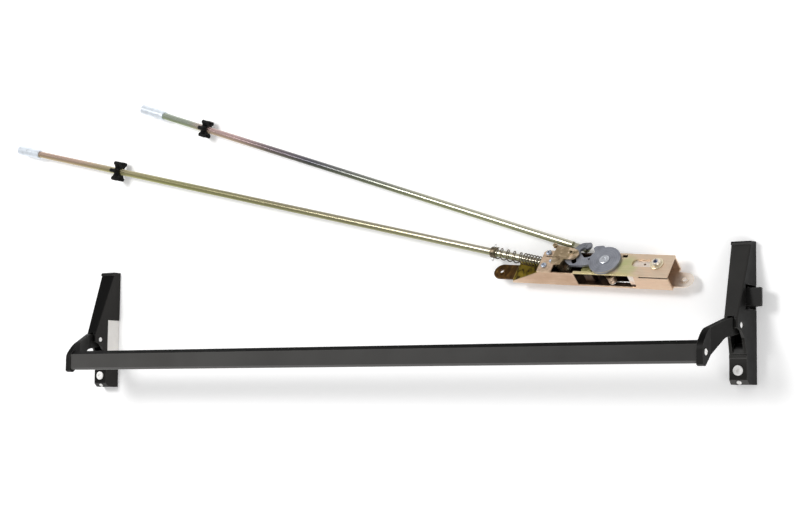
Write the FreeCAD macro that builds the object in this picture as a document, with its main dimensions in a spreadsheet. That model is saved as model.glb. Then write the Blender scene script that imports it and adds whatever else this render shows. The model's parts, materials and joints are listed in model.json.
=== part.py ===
import FreeCAD, Part
import math
import os
import re
import Sketcher

V = FreeCAD.Vector
Place = FreeCAD.Placement
Turn = FreeCAD.Rotation
doc = FreeCAD.newDocument("panic_bar")

# Driving sizes in millimetres and degrees
SIZES = {
    # Frame: shift from the crossbar unit's own centre line to the middle of the whole set
    "shift_x": 92.92, "shift_y": -242.41,
    # Crossbar unit: half the distance between the two housings
    "half_span": 584.0,
    # Housing casting: long axis along Y, door face on Z = 0
    "house_len": 197.0, "house_wide": 32.6, "house_deep": 52.5, "house_draft": 0.124,
    "house_top": 14.0, "house_nose": 88.0, "house_chin": 76.0, "house_wall": 3.0, "house_edge": 2.2,
    "lip_out": 1.8, "lip_len": 5.0, "cave_wide": 16.0, "cave_back": 24.0, "cave_step": 20.0,
    "foot_deep": 27.0, "foot_top": 38.0, "foot_slope": 6.0, "foot_bevel": 7.0, "foot_ridge": 0.8,
    "cheek_bend_y": 72.5, "cheek_bend_z": 42.0, "cheek_foot_y": 63.0, "cheek_foot_z": 33.5,
    "ramp_top": 42.5, "ramp_low": 65.0, "ramp_foot": 6.5, "ramp_wall": 3.2, "ramp_round": 15.0,
    "slot_wide": 10.0, "slot_top": 92.0,
    "pivot_y": 80.0, "pivot_z": 40.0, "pin_rad": 4.0, "pin_gap": 0.06, "pin_sink": 0.6, "ring_rad": 5.0,
    "latch_low": 101.4, "latch_high": 136.7, "latch_deep": 29.8,
    "filler_low": 50.0, "filler_high": 114.4, "filler_deep": 25.0, "filler_thick": 1.6,
    "foot_screw_y": 19.0, "foot_screw_rad": 3.0, "foot_head_rad": 7.0, "foot_head_high": 3.0,
    "boss_rad": 5.6, "trim_screw_rad": 2.4, "trim_screw_len": 7.0, "trim_head_rad": 3.4,
    # Base plate inside the housing
    "plate_thick": 2.5, "plate_low": 26.0, "plate_gap": 0.3,
    "bolt_hole_rad": 2.7, "bolt_hole_low": 62.0, "bolt_hole_in": 25.0,
    # Lever arm and crossbar
    "arm_thick": 9.0, "arm_crank": 14.5, "arm_end_wide": 10.0, "arm_front": 121.5, "arm_tip": 21.0,
    "tail_out": 12.0, "tail_down": 28.0, "bar_gap": 0.1,
    "bar_low": 26.0, "bar_high": 57.0, "bar_back": 104.0, "bar_front": 120.0, "bar_wall": 1.8,
    "bevel_top": 7.0, "bevel_in": 5.5, "bevel_low": 3.0,
    "plug_len": 26.0, "plug_gap": 0.2, "bar_screw_y": 41.0, "bar_screw_z": 111.0,
    "bar_screw_rad": 3.0, "bar_head_rad": 4.6, "bar_sink": 1.8, "seat_gap": 0.05,
    # Latch bolt in the right housing
    "latch_half": 12.8, "latch_mid": 119.1, "latch_lift": 4.0, "latch_front": 25.0,
    "latch_tip": 33.0, "latch_rear": 3.0, "latch_edge": 6.0, "latch_bore": 3.4, "latch_bore_end": 17.0,
    "latch_travel": 12.0, "slider_travel": 10.2, "latch_pin_x": 8.5, "latch_pin_rad": 1.5,
    "latch_pin_deep": 4.0, "slider_gap": 0.4, "slider_thick": 2.0, "bolt_spring_rad": 2.9,
    "bolt_spring_wire": 0.8, "return_rad": 5.4, "return_wire": 0.8,
    "guide_clear": 0.3, "guide_wall": 1.2, "guide_back": 1.8,
    # Concealed mechanism: its own frame has x along the case, z square to the top plate
    "mech_x": 386.4, "mech_y": 176.5, "mech_tilt": 35.0, "mech_yaw": -4.5,
    "case_left": -155.0, "case_right": 102.5, "case_front": -23.0, "case_back": 16.5,
    "case_high": 27.0, "sheet_thick": 2.5, "flange_start": -101.0,
    "window_left": -45.0, "window_right": 50.0,
    "ear_rad": 13.0, "ear_mid": -5.0, "ear_left": -180.0, "ear_right": 116.0, "ear_hole": 3.6,
    "ear_lip": 1.1, "ear_lip_wide": 2.4,
    "top_thick": 2.4, "strip_wide": 3.4, "top_start": -8.0,
    "slot_a": 48.5, "slot_b": 82.0, "slot_rad": 6.5, "slot_y": 0.0,
    "sight_x": 27.5, "sight_y": 11.5, "sight_long": 8.0, "sight_wide": 5.0,
    # Cam, its shaft, and the lever with its curled finger below the top plate
    "cam_rad": 24.0, "cam_thick": 4.0, "cam_gap": 0.3, "cam_angle": 15.0,
    "hub_hole": 6.0, "hub_head": 7.5, "hub_rad": 11.0, "peep_x": -25.0, "peep_y": 0.2, "peep_rad": 1.7,
    "finger_x": 9.0, "finger_y": -15.8, "finger_rad": 6.3, "finger_low": 6.0, "finger_high": 18.0,
    "lever_low": 9.0, "lever_thick": 5.0, "stub_rad": 1.4,
    "wire_z": 4.6, "wire_rad": 1.1, "wire_eye": 4.6,
    # Slide under the adjusting slot
    "slide_left": 38.0, "slide_long": 58.0, "slide_thick": 3.2, "block_long": 11.5,
    "adjust_x": 80.3, "adjust_rad": 3.0, "washer_rad": 10.0, "washer_thick": 1.5,
    "stop_left": -34.0, "stop_right": -19.0, "stop_front": -17.5, "stop_back": -7.5,
    # Joints of the cam with the upper rod and the rod link
    "horn_x": -40.2, "horn_y": 24.2, "horn_drop": 4.0, "horn_pin_rad": 2.2, "eye_rad": 5.4,
    "link_x": -54.6, "link_y": 7.7, "link_pin_rad": 3.0, "link_travel": 8.0, "link_play": 0.8,
    "link_lift": 1.2, "link_thick": 2.6, "web_x": -75.0,
    "knuckle_x": -85.5, "knuckle_y": 20.0, "knuckle_rad": 3.6,
    # Rods, spring and their fittings
    "rod_rad": 5.5, "rod_y": 4.0, "rod_z": 14.0, "rod_a_yaw": 13.0, "rod_b_yaw": 18.15,
    "rod_a_len": 1080.0, "rod_b_len": 872.0, "rod_end": 41.0, "thread_rad": 4.0, "thread_start": 21.0,
    "nut_across": 12.0, "nut_thick": 5.0, "nut_clear": 1.1,
    "coupling_rad": 8.0, "coupling_len": 52.0, "coupling_lap": 20.0,
    "guide_len": 11.0, "guide_lobes": 6.0, "guide_hub": 7.8, "lobe_rad": 3.4, "lobe_rib": 4.6,
    "guide_a_in": 215.0, "guide_b_in": 117.0, "guide_b_rad": 16.0,
    "spring_rad": 8.2, "spring_wire": 1.7, "spring_len": 86.0,
    "collar_rad": 8.4, "collar_len": 8.0, "cross_pin_rad": 1.6, "cross_pin_half": 13.0,
    "bracket_pos": -104.0, "bracket_end": -81.0, "bracket_thick": 2.5,
    "bracket_screw_x": -95.5, "bracket_screw_a": -12.0, "bracket_screw_b": 11.3,
    "bracket_slot_y": 5.2, "bracket_slot_wide": 1.8, "rivet_x": -87.0, "rivet_y": -3.5, "rivet_rad": 3.2,
}

dims = doc.addObject("Spreadsheet::Sheet", "dims")
for row, (name, value) in enumerate(SIZES.items(), start=1):
    dims.set("A%d" % row, name)
    dims.set("B%d" % row, str(value))
    dims.setAlias("B%d" % row, name)
doc.recompute()

WORDS = re.compile(r"[a-z][a-z_0-9]*")
FUNCTIONS = {"sin", "cos", "tan", "sqrt", "abs", "min", "max", "pi", "deg"}


def size(name):
    """The sheet's present value of one named size."""
    return float(dims.get(name))


def bound(text):
    """An expression with every named size pointed at the sheet."""
    return WORDS.sub(lambda m: m.group(0) if m.group(0) in FUNCTIONS else "dims." + m.group(0), str(text))


points = doc.addObject("Spreadsheet::Sheet", "points")


def numbers(texts):
    """The present values of several expressions in named sizes."""
    for row, text in enumerate(texts, start=1):
        points.set("A%d" % row, "=" + bound(text))
    doc.recompute([points])
    return [float(points.get("A%d" % row)) for row in range(1, len(texts) + 1)]


def new_body(label):
    """An empty body whose label is its file's name."""
    body = doc.addObject("PartDesign::Body", label)
    body.Label = label
    return body


def new_sketch(body, role, offset="0"):
    """A sketch on one of the body's origin planes, shifted along the plane's normal."""
    plane = [item for item in body.Origin.OriginFeatures if item.Role == role][0]
    sketch = body.newObject("Sketcher::SketchObject", body.Label + "_sketch")
    sketch.AttachmentSupport = [(plane, "")]
    sketch.MapMode = "FlatFace"
    if offset != "0":
        sketch.setExpression("AttachmentOffset.Base.z", bound(offset))
    return sketch


def fix_point(sketch, geometry, vertex, across, up, xy):
    """Ties one vertex to two expressions."""
    item = sketch.addConstraint(Sketcher.Constraint("DistanceX", -1, 1, geometry, vertex, xy[0]))
    sketch.setExpression("Constraints[%d]" % item, bound(across))
    item = sketch.addConstraint(Sketcher.Constraint("DistanceY", -1, 1, geometry, vertex, xy[1]))
    sketch.setExpression("Constraints[%d]" % item, bound(up))


def outline(sketch, corners):
    """A closed loop of straight lines through corners given as expression pairs."""
    values = numbers([text for pair in corners for text in pair])
    spots = list(zip(values[0::2], values[1::2]))
    first = sketch.GeometryCount
    count = len(corners)
    for at in range(count):
        start = V(spots[at][0], spots[at][1], 0)
        end = V(spots[(at + 1) % count][0], spots[(at + 1) % count][1], 0)
        sketch.addGeometry(Part.LineSegment(start, end))
    for at in range(count):
        sketch.addConstraint(Sketcher.Constraint("Coincident", first + at, 2, first + (at + 1) % count, 1))
    for at, (across, up) in enumerate(corners):
        fix_point(sketch, first + at, 1, across, up, spots[at])


def circle(sketch, across, up, radius):
    """A circle tied to expressions."""
    x, y, r = numbers([across, up, radius])
    item = sketch.addGeometry(Part.Circle(V(x, y, 0), V(0, 0, 1), r))
    fix_point(sketch, item, 3, across, up, (x, y))
    ring = sketch.addConstraint(Sketcher.Constraint("Radius", item, r))
    sketch.setExpression("Constraints[%d]" % ring, bound(radius))


def box_corners(x0, x1, y0, y1):
    return [(x0, y0), (x1, y0), (x1, y1), (x0, y1)]


def grow(body, sketch, length, middle=False, back=False):
    """A pad of the sketch."""
    pad = body.newObject("PartDesign::Pad", body.Label + "_pad")
    pad.Profile = sketch
    pad.setExpression("Length", bound(length))
    pad.SideType = "Symmetric" if middle else "One side"
    pad.Reversed = back
    doc.recompute()
    return pad


def cut(body, sketch, length, middle=False, back=False):
    """A pocket of the sketch, which must take something away."""
    before = body.Shape.Volume
    pocket = body.newObject("PartDesign::Pocket", body.Label + "_pocket")
    pocket.Profile = sketch
    pocket.setExpression("Length", bound(length))
    pocket.SideType = "Symmetric" if middle else "One side"
    pocket.Reversed = back
    doc.recompute()
    if body.Shape.Volume > before - 0.01:
        raise ValueError("nothing cut in " + body.Label)
    return pocket


AXES = {"X": Turn(V(0, 1, 0), 90), "Y": Turn(V(1, 0, 0), -90), "Z": Turn()}


def bore(body, at, axis, radius, length, kind="PartDesign::SubtractiveCylinder"):
    """A round hole, or with the other kind a round boss, from a start point along an axis."""
    tool = body.newObject(kind, body.Label + "_round")
    tool.Placement = Place(V(*numbers(at)), AXES[axis] if isinstance(axis, str) else axis)
    for name, text in zip("xyz", at):
        tool.setExpression("Placement.Base." + name, bound(text))
    tool.setExpression("Radius", bound(radius))
    tool.setExpression("Height", bound(length))
    doc.recompute()
    return tool


def boss(body, at, axis, radius, length):
    return bore(body, at, axis, radius, length, "PartDesign::AdditiveCylinder")


def soften(body, radius, test, kind="PartDesign::Fillet"):
    """Rounds or bevels the edges that the test picks."""
    base = body.Tip
    names = []
    for number_at, edge in enumerate(base.Shape.Edges, start=1):
        if test(edge):
            names.append("Edge%d" % number_at)
    if not names:
        raise ValueError("no edges to soften in " + body.Label)
    item = body.newObject(kind, body.Label + "_soft")
    item.Base = (base, names)
    item.setExpression("Radius" if kind.endswith("Fillet") else "Size", bound(radius))
    doc.recompute()
    if item.State and "Invalid" in item.State:
        raise ValueError("fillet failed in " + body.Label)
    return item


def along(edge, axis, tol=1e-4):
    """True for a straight edge that runs along X, Y or Z."""
    if edge.Curve.TypeId != "Part::GeomLine":
        return False
    way = edge.Curve.Direction
    parts = {"X": way.x, "Y": way.y, "Z": way.z}
    return abs(abs(parts[axis]) - 1) < tol


def near(edge, x=None, y=None, z=None, tol=0.2):
    """True for an edge whose middle lies at the given place."""
    middle = edge.CenterOfMass
    return all(want is None or abs(have - want) < tol
               for want, have in ((x, middle.x), (y, middle.y), (z, middle.z)))


def seat(body, x="0", y="0", z="0"):
    """Sets a world place from expressions."""
    body.Placement = Place(V(*numbers([x, y, z])), Turn())
    for name, text in zip("xyz", (x, y, z)):
        body.setExpression("Placement.Base." + name, bound(text))
    return body


BAR_HALF = "half_span - arm_crank - arm_end_wide / 2 - bar_gap"
UNIT_X = {"right": "shift_x + half_span", "left": "shift_x - half_span"}
SIGN = {"right": 1, "left": -1}
finished = []


def done(body):
    finished.append(body)
    return body


def housing(side):
    """A tapered shell casting, open at the door face, with a slot and mouth for the lever arm."""
    body = new_body(side + "_housing")
    sketch = new_sketch(body, "YZ_Plane")
    outline(sketch, [
        ("0", "0"),
        ("house_len", "0"),
        ("house_len", "house_top"),
        ("house_len - 2", "house_top + lip_out"),
        ("house_len - lip_len", "house_top + lip_out"),
        ("house_len - lip_len", "house_top + 0.6"),
        ("house_nose", "house_deep"),
        ("house_chin", "house_deep"),
        ("cheek_bend_y", "cheek_bend_z"),
        ("cheek_foot_y", "cheek_foot_z"),
        ("foot_top + 4", "foot_deep"),
        ("foot_top + 3", "foot_deep - foot_ridge"),
        ("foot_top + 2", "foot_deep + foot_ridge"),
        ("foot_top - 2", "foot_deep + foot_ridge"),
        ("foot_top - 3", "foot_deep"),
        ("foot_slope", "foot_deep"),
        ("0", "foot_deep - foot_bevel"),
    ])
    grow(body, sketch, "house_wide", middle=True)
    sketch = new_sketch(body, "XZ_Plane")
    for sign in ("", "-"):
        outline(sketch, [
            (sign + "house_wide / 2", "0"),
            (sign + "(house_wide / 2 + 2)", "0"),
            (sign + "(house_wide / 2 + 2)", "house_deep + 4"),
            (sign + "(house_wide / 2 - house_draft * (house_deep + 4))", "house_deep + 4"),
        ])
    cut(body, sketch, "3 * house_len", middle=True)
    # Outer edges of the front run soft, as on a painted casting
    soften(body, "house_edge", lambda e: abs(e.CenterOfMass.x) > size("slot_wide") * 0.85
           and e.CenterOfMass.z > size("house_top") + 2 and abs(e.Curve.Direction.x) < 0.6
           and size("house_chin") + 1 < e.CenterOfMass.y < size("house_len") - size("lip_len") - 1)
    # Hollow: a deep narrow cave and a wide step at the back
    sketch = new_sketch(body, "YZ_Plane")
    outline(sketch, [
        ("house_wall + 1", "-1"),
        ("house_len - house_wall - 1", "-1"),
        ("house_len - house_wall - 1", "house_top - house_wall"),
        ("house_nose - 0.5", "house_deep - house_wall"),
        ("house_chin - 4", "house_deep - house_wall"),
        ("house_chin - 4", "house_deep + 3"),
        ("ramp_top", "house_deep + 3"),
        ("ramp_top", "foot_deep - 0.5"),
        ("ramp_top + 0.33 * (ramp_low - ramp_top)", "ramp_foot + 0.88 * (foot_deep - ramp_foot)"),
        ("ramp_top + 0.64 * (ramp_low - ramp_top)", "ramp_foot + 0.63 * (foot_deep - ramp_foot)"),
        ("ramp_top + 0.89 * (ramp_low - ramp_top)", "ramp_foot + 0.29 * (foot_deep - ramp_foot)"),
        ("ramp_low", "ramp_foot"),
        ("ramp_low - ramp_wall", "ramp_foot"),
        ("ramp_top + 0.71 * (ramp_low - ramp_top)", "ramp_foot + 0.29 * (foot_deep - ramp_foot)"),
        ("ramp_top + 0.2 * (ramp_low - ramp_top)", "ramp_foot + 0.7 * (foot_deep - ramp_foot)"),
        ("ramp_top - 2", "foot_deep - house_wall - 1"),
        ("house_wall + 1", "foot_deep - house_wall - 4"),
    ])
    cut(body, sketch, "cave_wide", middle=True)
    bends = numbers(["ramp_top + 0.33 * (ramp_low - ramp_top)", "ramp_top + 0.64 * (ramp_low - ramp_top)",
                     "ramp_top + 0.89 * (ramp_low - ramp_top)", "ramp_foot + 0.2 * (foot_deep - ramp_foot)"])
    for bend in bends[:3]:
        soften(body, "ramp_round",
               lambda e: along(e, "X") and near(e, x=0, y=bend) and e.CenterOfMass.z > bends[3])
    sketch = new_sketch(body, "YZ_Plane")
    outline(sketch, [
        ("house_wall + 1", "-1"),
        ("house_len - house_wall - 1", "-1"),
        ("house_len - house_wall - 1", "house_top - house_wall"),
        ("house_len - 22", "cave_step"),
        ("house_wall + 1", "cave_step"),
    ])
    cut(body, sketch, "cave_back", middle=True)
    # Slot in the nose for the lever arm
    sketch = new_sketch(body, "XY_Plane", "pivot_z")
    outline(sketch, box_corners("-slot_wide / 2", "slot_wide / 2", "house_chin - 8", "slot_top"))
    cut(body, sketch, "house_deep", back=True)
    # Screw boss behind the foot
    boss(body, ("0", "foot_screw_y", "0"), "Z", "boss_rad", "foot_deep - 2")
    bore(body, ("0", "foot_screw_y", "-1"), "Z", "foot_screw_rad + 0.25", "foot_deep + 4")
    # Pivot holes, sunk so that the pin's bright ends sit below the paint
    bore(body, ("-house_wide / 2", "pivot_y", "pivot_z"), "X", "pin_rad + pin_gap", "house_wide")
    for sign in (1, -1):
        start = "house_wide / 2 - house_draft * pivot_z - pin_sink"
        at = (start if sign > 0 else "-(" + start + ") - 4", "pivot_y", "pivot_z")
        bore(body, at, "X", "ring_rad", "4")
    # Small hole in the bottom bevel for the trim screw
    bore(body, trim_spot("4"), trim_turn(), "trim_screw_rad + 0.1", "trim_screw_len + 5")
    if side == "right":
        sketch = new_sketch(body, "YZ_Plane", "5")
        outline(sketch, box_corners("latch_low", "latch_high", "-1", "latch_deep"))
        cut(body, sketch, "20", back=True)
    else:
        sketch = new_sketch(body, "YZ_Plane", "8")
        outline(sketch, box_corners("filler_low", "filler_high", "-1", "filler_deep"))
        cut(body, sketch, "20", back=True)
    return done(seat(body, UNIT_X[side], "shift_y"))


def trim_turn():
    """The way into the bottom bevel, square to it."""
    return Turn(V(0, 0, 1), V(0, size("foot_bevel"), -size("foot_slope")))


def trim_spot(lift):
    """A point over the middle of the bottom bevel."""
    slant = "sqrt(foot_bevel ^ 2 + foot_slope ^ 2)"
    return ("0", "foot_slope / 2 - " + lift + " * foot_bevel / " + slant,
            "foot_deep - foot_bevel / 2 + " + lift + " * foot_slope / " + slant)


def turned(body, profile):
    """A piece turned about the body's Z axis from half a section."""
    sketch = new_sketch(body, "XZ_Plane")
    outline(sketch, profile)
    item = body.newObject("PartDesign::Revolution", body.Label + "_turned")
    item.Profile = sketch
    item.ReferenceAxis = (sketch, ["V_Axis"])
    item.Angle = 360
    doc.recompute()
    return item


def base_plate(side):
    """The steel plate screwed to the door inside the housing's open back."""
    body = new_body(side + "_base_plate")
    sketch = new_sketch(body, "XY_Plane")
    outline(sketch, box_corners("-(cave_back / 2 - plate_gap)", "cave_back / 2 - plate_gap", "plate_low",
                                "house_len - house_wall - 1 - plate_gap"))
    grow(body, sketch, "plate_thick")
    soften(body, "3", lambda e: along(e, "Z"))
    for spot in ("bolt_hole_low", "house_len - bolt_hole_in"):
        bore(body, ("0", spot, "-1"), "Z", "bolt_hole_rad", "plate_thick + 2")
    return done(seat(body, UNIT_X[side], "shift_y"))


def lever_arm(side):
    """A cranked cast lever: hub on the pivot, flat web, and a rim that closes the bar's end."""
    sign = SIGN[side]
    out = "" if sign > 0 else "-"
    body = new_body(side + "_lever_arm")
    sketch = new_sketch(body, "YZ_Plane", out + "((arm_thick - arm_end_wide) / 4 - arm_crank / 2)")
    outline(sketch, [
        ("pivot_y - 11", "pivot_z - 8"),
        ("pivot_y + 3", "pivot_z - 12"),
        ("pivot_y + tail_out - 7", "pivot_z - tail_down"),
        ("pivot_y + tail_out", "pivot_z - tail_down"),
        ("pivot_y + 9", "pivot_z - 4"),
        ("pivot_y + 9", "pivot_z + 20"),
        ("pivot_y - 9", "arm_front - 17"),
        ("pivot_y - 29", "arm_front"),
        ("arm_tip + 3", "arm_front"),
        ("arm_tip", "arm_front - 7"),
        ("pivot_y - 18", "pivot_z + 29"),
    ])
    grow(body, sketch, "arm_crank + (arm_end_wide + arm_thick) / 2 + 2", middle=True)
    spots = {
        (size("pivot_y") + size("tail_out"), size("pivot_z") - size("tail_down")): "2.5",
        (size("pivot_y") + 3, size("pivot_z") - 12): "5",
        (size("pivot_y") - 11, size("pivot_z") - 8): "8",
        (size("pivot_y") + 9, size("pivot_z") + 20): "14",
        (size("pivot_y") - 9, size("arm_front") - 17): "50",
        (size("pivot_y") - 29, size("arm_front")): "18",
        (size("pivot_y") - 18, size("pivot_z") + 29): "16",
    }
    for (y, z), radius in spots.items():
        soften(body, radius, lambda e: along(e, "X") and near(e, y=y, z=z))
    soften(body, "3", lambda e: along(e, "X") and near(e, z=size("arm_front")) and e.CenterOfMass.y < 30)
    soften(body, "6", lambda e: along(e, "X") and near(e, y=size("arm_tip")))
    # Crank: the web is cut back on both sides so that the end stands inboard of the hub
    sketch = new_sketch(body, "XZ_Plane")
    inner = "-(arm_thick / 2)" if sign > 0 else "(arm_thick / 2)"
    outer = "(arm_thick / 2)" if sign > 0 else "-(arm_thick / 2)"
    end_in = out + "(-(arm_crank + arm_end_wide / 2))"
    end_out = out + "(-(arm_crank - arm_end_wide / 2))"
    far_in = out + "(-30)"
    far_out = out + "(30)"
    outline(sketch, [
        (far_in, "0"),
        (inner, "0"),
        (inner, "pivot_z + 16"),
        (out + "(-(arm_crank + arm_thick / 2) + 0.6)", "bar_back - 8"),
        (end_in, "bar_back - 5"),
        (end_in, "arm_front + 5"),
        (far_in, "arm_front + 5"),
    ])
    outline(sketch, [
        (far_out, "0"),
        (outer, "0"),
        (outer, "pivot_z + 16"),
        (end_out, "bar_back - 8"),
        (end_out, "arm_front + 5"),
        (far_out, "arm_front + 5"),
    ])
    cut(body, sketch, "3 * house_len", middle=True)
    bore(body, ("-20", "pivot_y", "pivot_z"), "X", "pin_rad + pin_gap", "40")
    bore(body, ("-40", "bar_screw_y", "bar_screw_z"), "X", "bar_screw_rad + 0.15", "80")
    sink = ("-(arm_crank - arm_end_wide / 2) - bar_sink" if sign > 0
            else "(arm_crank - arm_end_wide / 2) + bar_sink - 8")
    bore(body, (sink, "bar_screw_y", "bar_screw_z"), "X", "bar_head_rad + 0.6", "8")
    return done(seat(body, UNIT_X[side], "shift_y"))


def crossbar():
    """The push bar: a hollow bevelled rectangular tube."""
    body = new_body("crossbar")
    sketch = new_sketch(body, "YZ_Plane")
    outline(sketch, [
        ("bar_low", "bar_back"),
        ("bar_high", "bar_back"),
        ("bar_high", "bar_front - bevel_top"),
        ("bar_high - bevel_in", "bar_front"),
        ("bar_low + bevel_low", "bar_front"),
        ("bar_low", "bar_front - bevel_low"),
    ])
    outline(sketch, [
        ("bar_low + bar_wall", "bar_back + bar_wall"),
        ("bar_high - bar_wall", "bar_back + bar_wall"),
        ("bar_high - bar_wall", "bar_front - bevel_top - bar_wall * 0.4"),
        ("bar_high - bevel_in - bar_wall * 0.4", "bar_front - bar_wall"),
        ("bar_low + bevel_low + bar_wall * 0.4", "bar_front - bar_wall"),
        ("bar_low + bar_wall", "bar_front - bevel_low - bar_wall * 0.4"),
    ])
    grow(body, sketch, "2 * (" + BAR_HALF + ")", middle=True)
    return done(seat(body, "shift_x", "shift_y"))


def bar_end_plugs():
    """Two solid blocks inside the bar's ends that take the arm screws."""
    def maker(name):
        body = new_body(name)
        sketch = new_sketch(body, "YZ_Plane")
        outline(sketch, [
            ("bar_low + bar_wall + plug_gap", "bar_back + bar_wall + plug_gap"),
            ("bar_high - bar_wall - plug_gap", "bar_back + bar_wall + plug_gap"),
            ("bar_high - bar_wall - plug_gap", "bar_front - bevel_top - 1"),
            ("bar_high - bar_wall - bevel_in", "bar_front - bar_wall - plug_gap"),
            ("bar_low + bar_wall + bevel_low", "bar_front - bar_wall - plug_gap"),
            ("bar_low + bar_wall + plug_gap", "bar_front - bevel_low - 2"),
        ])
        grow(body, sketch, "plug_len", middle=True)
        bore(body, ("-plug_len", "bar_screw_y", "bar_screw_z"), "X", "bar_screw_rad", "2 * plug_len")
        return body

    return pair("bar_end_plugs", maker,
                lambda side: ("shift_x + " + BAR_HALF + " - plug_len / 2 - plug_gap" if side == "right"
                              else "shift_x - (" + BAR_HALF + ") + plug_len / 2 + plug_gap", "shift_y", "0"),
                lambda side: Turn())


def screw_part(label, head_rad, head_high, shank_rad, shank_len, socket_rad, dome="0.6"):
    """A turned screw, head up, with the head's seat at Z = 0."""
    body = new_body(label)
    turned(body, [
        ("0", "-(" + shank_len + ")"),
        (shank_rad, "-(" + shank_len + ")"),
        (shank_rad, "0"),
        (head_rad, "0"),
        (head_rad, head_high + " * 0.55"),
        (head_rad + " * " + dome, head_high),
        ("0", head_high),
    ])
    bore(body, ("0", "0", head_high + " * 0.35"), "Z", socket_rad, head_high)
    return body


def compound(label, bodies):
    """Several like pieces kept as one node."""
    item = doc.addObject("Part::Compound", label)
    item.Label = label
    item.Links = bodies
    doc.recompute()
    return done(item)


def seat_turned(body, at, turn):
    """Sets a place from expressions and a turn."""
    body.Placement = Place(V(*numbers(at)), turn)
    for name, text in zip("xyz", at):
        body.setExpression("Placement.Base." + name, bound(text))
    return body


def pair(label, maker, at, turns):
    """One node of two like pieces, one for each side of the crossbar unit."""
    bodies = []
    for side in ("right", "left"):
        body = maker(label + "_" + side)
        bodies.append(seat_turned(body, at(side), turns(side)))
    return compound(label, bodies)


def pivot_pins():
    """Ground pins through both housing walls and the arm's hub."""
    length = "house_wide - 2 * house_draft * pivot_z - 2 * pin_sink"

    def maker(name):
        body = new_body(name)
        turned(body, [
            ("0", "-(" + length + ") / 2"),
            ("pin_rad - 0.5", "-(" + length + ") / 2"),
            ("pin_rad", "-(" + length + ") / 2 + 0.5"),
            ("pin_rad", "(" + length + ") / 2 - 0.5"),
            ("pin_rad - 0.5", "(" + length + ") / 2"),
            ("0", "(" + length + ") / 2"),
        ])
        return body

    return pair("pivot_pins", maker,
                lambda side: (UNIT_X[side], "shift_y + pivot_y", "pivot_z"),
                lambda side: AXES["X"])


def mounting_screws():
    """Pan-head screws through the foot of each housing."""
    return pair("mounting_screws",
                lambda name: screw_part(name, "foot_head_rad", "foot_head_high", "foot_screw_rad",
                                        "foot_deep - 0.4", "2.2"),
                lambda side: (UNIT_X[side], "shift_y + foot_screw_y", "foot_deep + 0.05"),
                lambda side: Turn())


def trim_screws():
    """Small screws in the bottom bevel of each housing."""
    spot = trim_spot("seat_gap")
    return pair("trim_screws",
                lambda name: screw_part(name, "trim_head_rad", "1.6", "trim_screw_rad",
                                        "trim_screw_len", "1.1"),
                lambda side: (UNIT_X[side], "shift_y + " + spot[1], spot[2]),
                lambda side: Turn(V(0, 0, 1), V(0, -size("foot_bevel"), size("foot_slope"))))


def bar_screws():
    """Screws through the arm ends into the bar's plugs."""
    return pair("bar_screws",
                lambda name: screw_part(name, "bar_head_rad", "2.4", "bar_screw_rad - 0.05", "24", "1.6"),
                lambda side: (UNIT_X[side] + " - (arm_crank - arm_end_wide / 2 + bar_sink - seat_gap)"
                              if side == "right" else
                              UNIT_X[side] + " + (arm_crank - arm_end_wide / 2 + bar_sink - seat_gap)",
                              "shift_y + bar_screw_y", "bar_screw_z"),
                lambda side: Turn(V(0, 0, 1), V(SIGN[side], 0, 0)))


def side_filler():
    """The plain pale plate that closes the unused latch side of the left housing."""
    body = new_body("side_filler")
    sketch = new_sketch(body, "YZ_Plane")
    outline(sketch, box_corners("filler_low + 0.25", "filler_high - 0.25", "0.3", "filler_deep - 0.25"))
    grow(body, sketch, "filler_thick", back=True)
    lean = Turn(V(0, 1, 0), -math.degrees(math.atan(size("house_draft"))))
    return done(seat_turned(body, ("shift_x - half_span + house_wide / 2 - 0.5", "shift_y", "0"), lean))


def latch_bolt():
    """The bevelled latch bolt, bored from behind for its spring."""
    body = new_body("latch_bolt")
    sketch = new_sketch(body, "XZ_Plane", "-(latch_mid - latch_half)")
    outline(sketch, [
        ("latch_rear", "latch_lift"),
        ("house_wide / 2 + 1.5", "latch_lift"),
        ("latch_tip", "latch_front - latch_edge"),
        ("latch_tip", "latch_front"),
        ("latch_rear + 3", "latch_front"),
        ("latch_rear + 3", "cave_step - 0.6"),
        ("latch_rear", "cave_step - 0.6"),
    ])
    grow(body, sketch, "2 * latch_half", back=True)
    soften(body, "0.8", lambda e: e.CenterOfMass.x > size("house_wide") / 2 + 2, "PartDesign::Chamfer")
    bore(body, ("latch_rear - 1", "latch_mid", LATCH_Z), "X", "latch_bore",
         "latch_bore_end - latch_rear + 1")
    bore(body, ("latch_pin_x", "latch_mid", "latch_front - latch_pin_deep"), "Z", "latch_pin_rad",
         "latch_pin_deep + 1")
    return done(seat(body, UNIT_X["right"], "shift_y"))


LATCH_Z = "(latch_lift + cave_step - 0.6) / 2"


def latch_pin():
    """The upright pin in the bolt that the slider's wedge pushes on."""
    body = new_body("latch_pin")
    length = "latch_pin_deep + slider_gap + slider_thick + 0.4"
    turned(body, [
        ("0", "0"),
        ("latch_pin_rad", "0"),
        ("latch_pin_rad", length + " - 0.4"),
        ("latch_pin_rad - 0.4", length),
        ("0", length),
    ])
    return done(seat(body, UNIT_X["right"] + " + latch_pin_x", "shift_y + latch_mid",
                     "latch_front - latch_pin_deep"))


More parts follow.
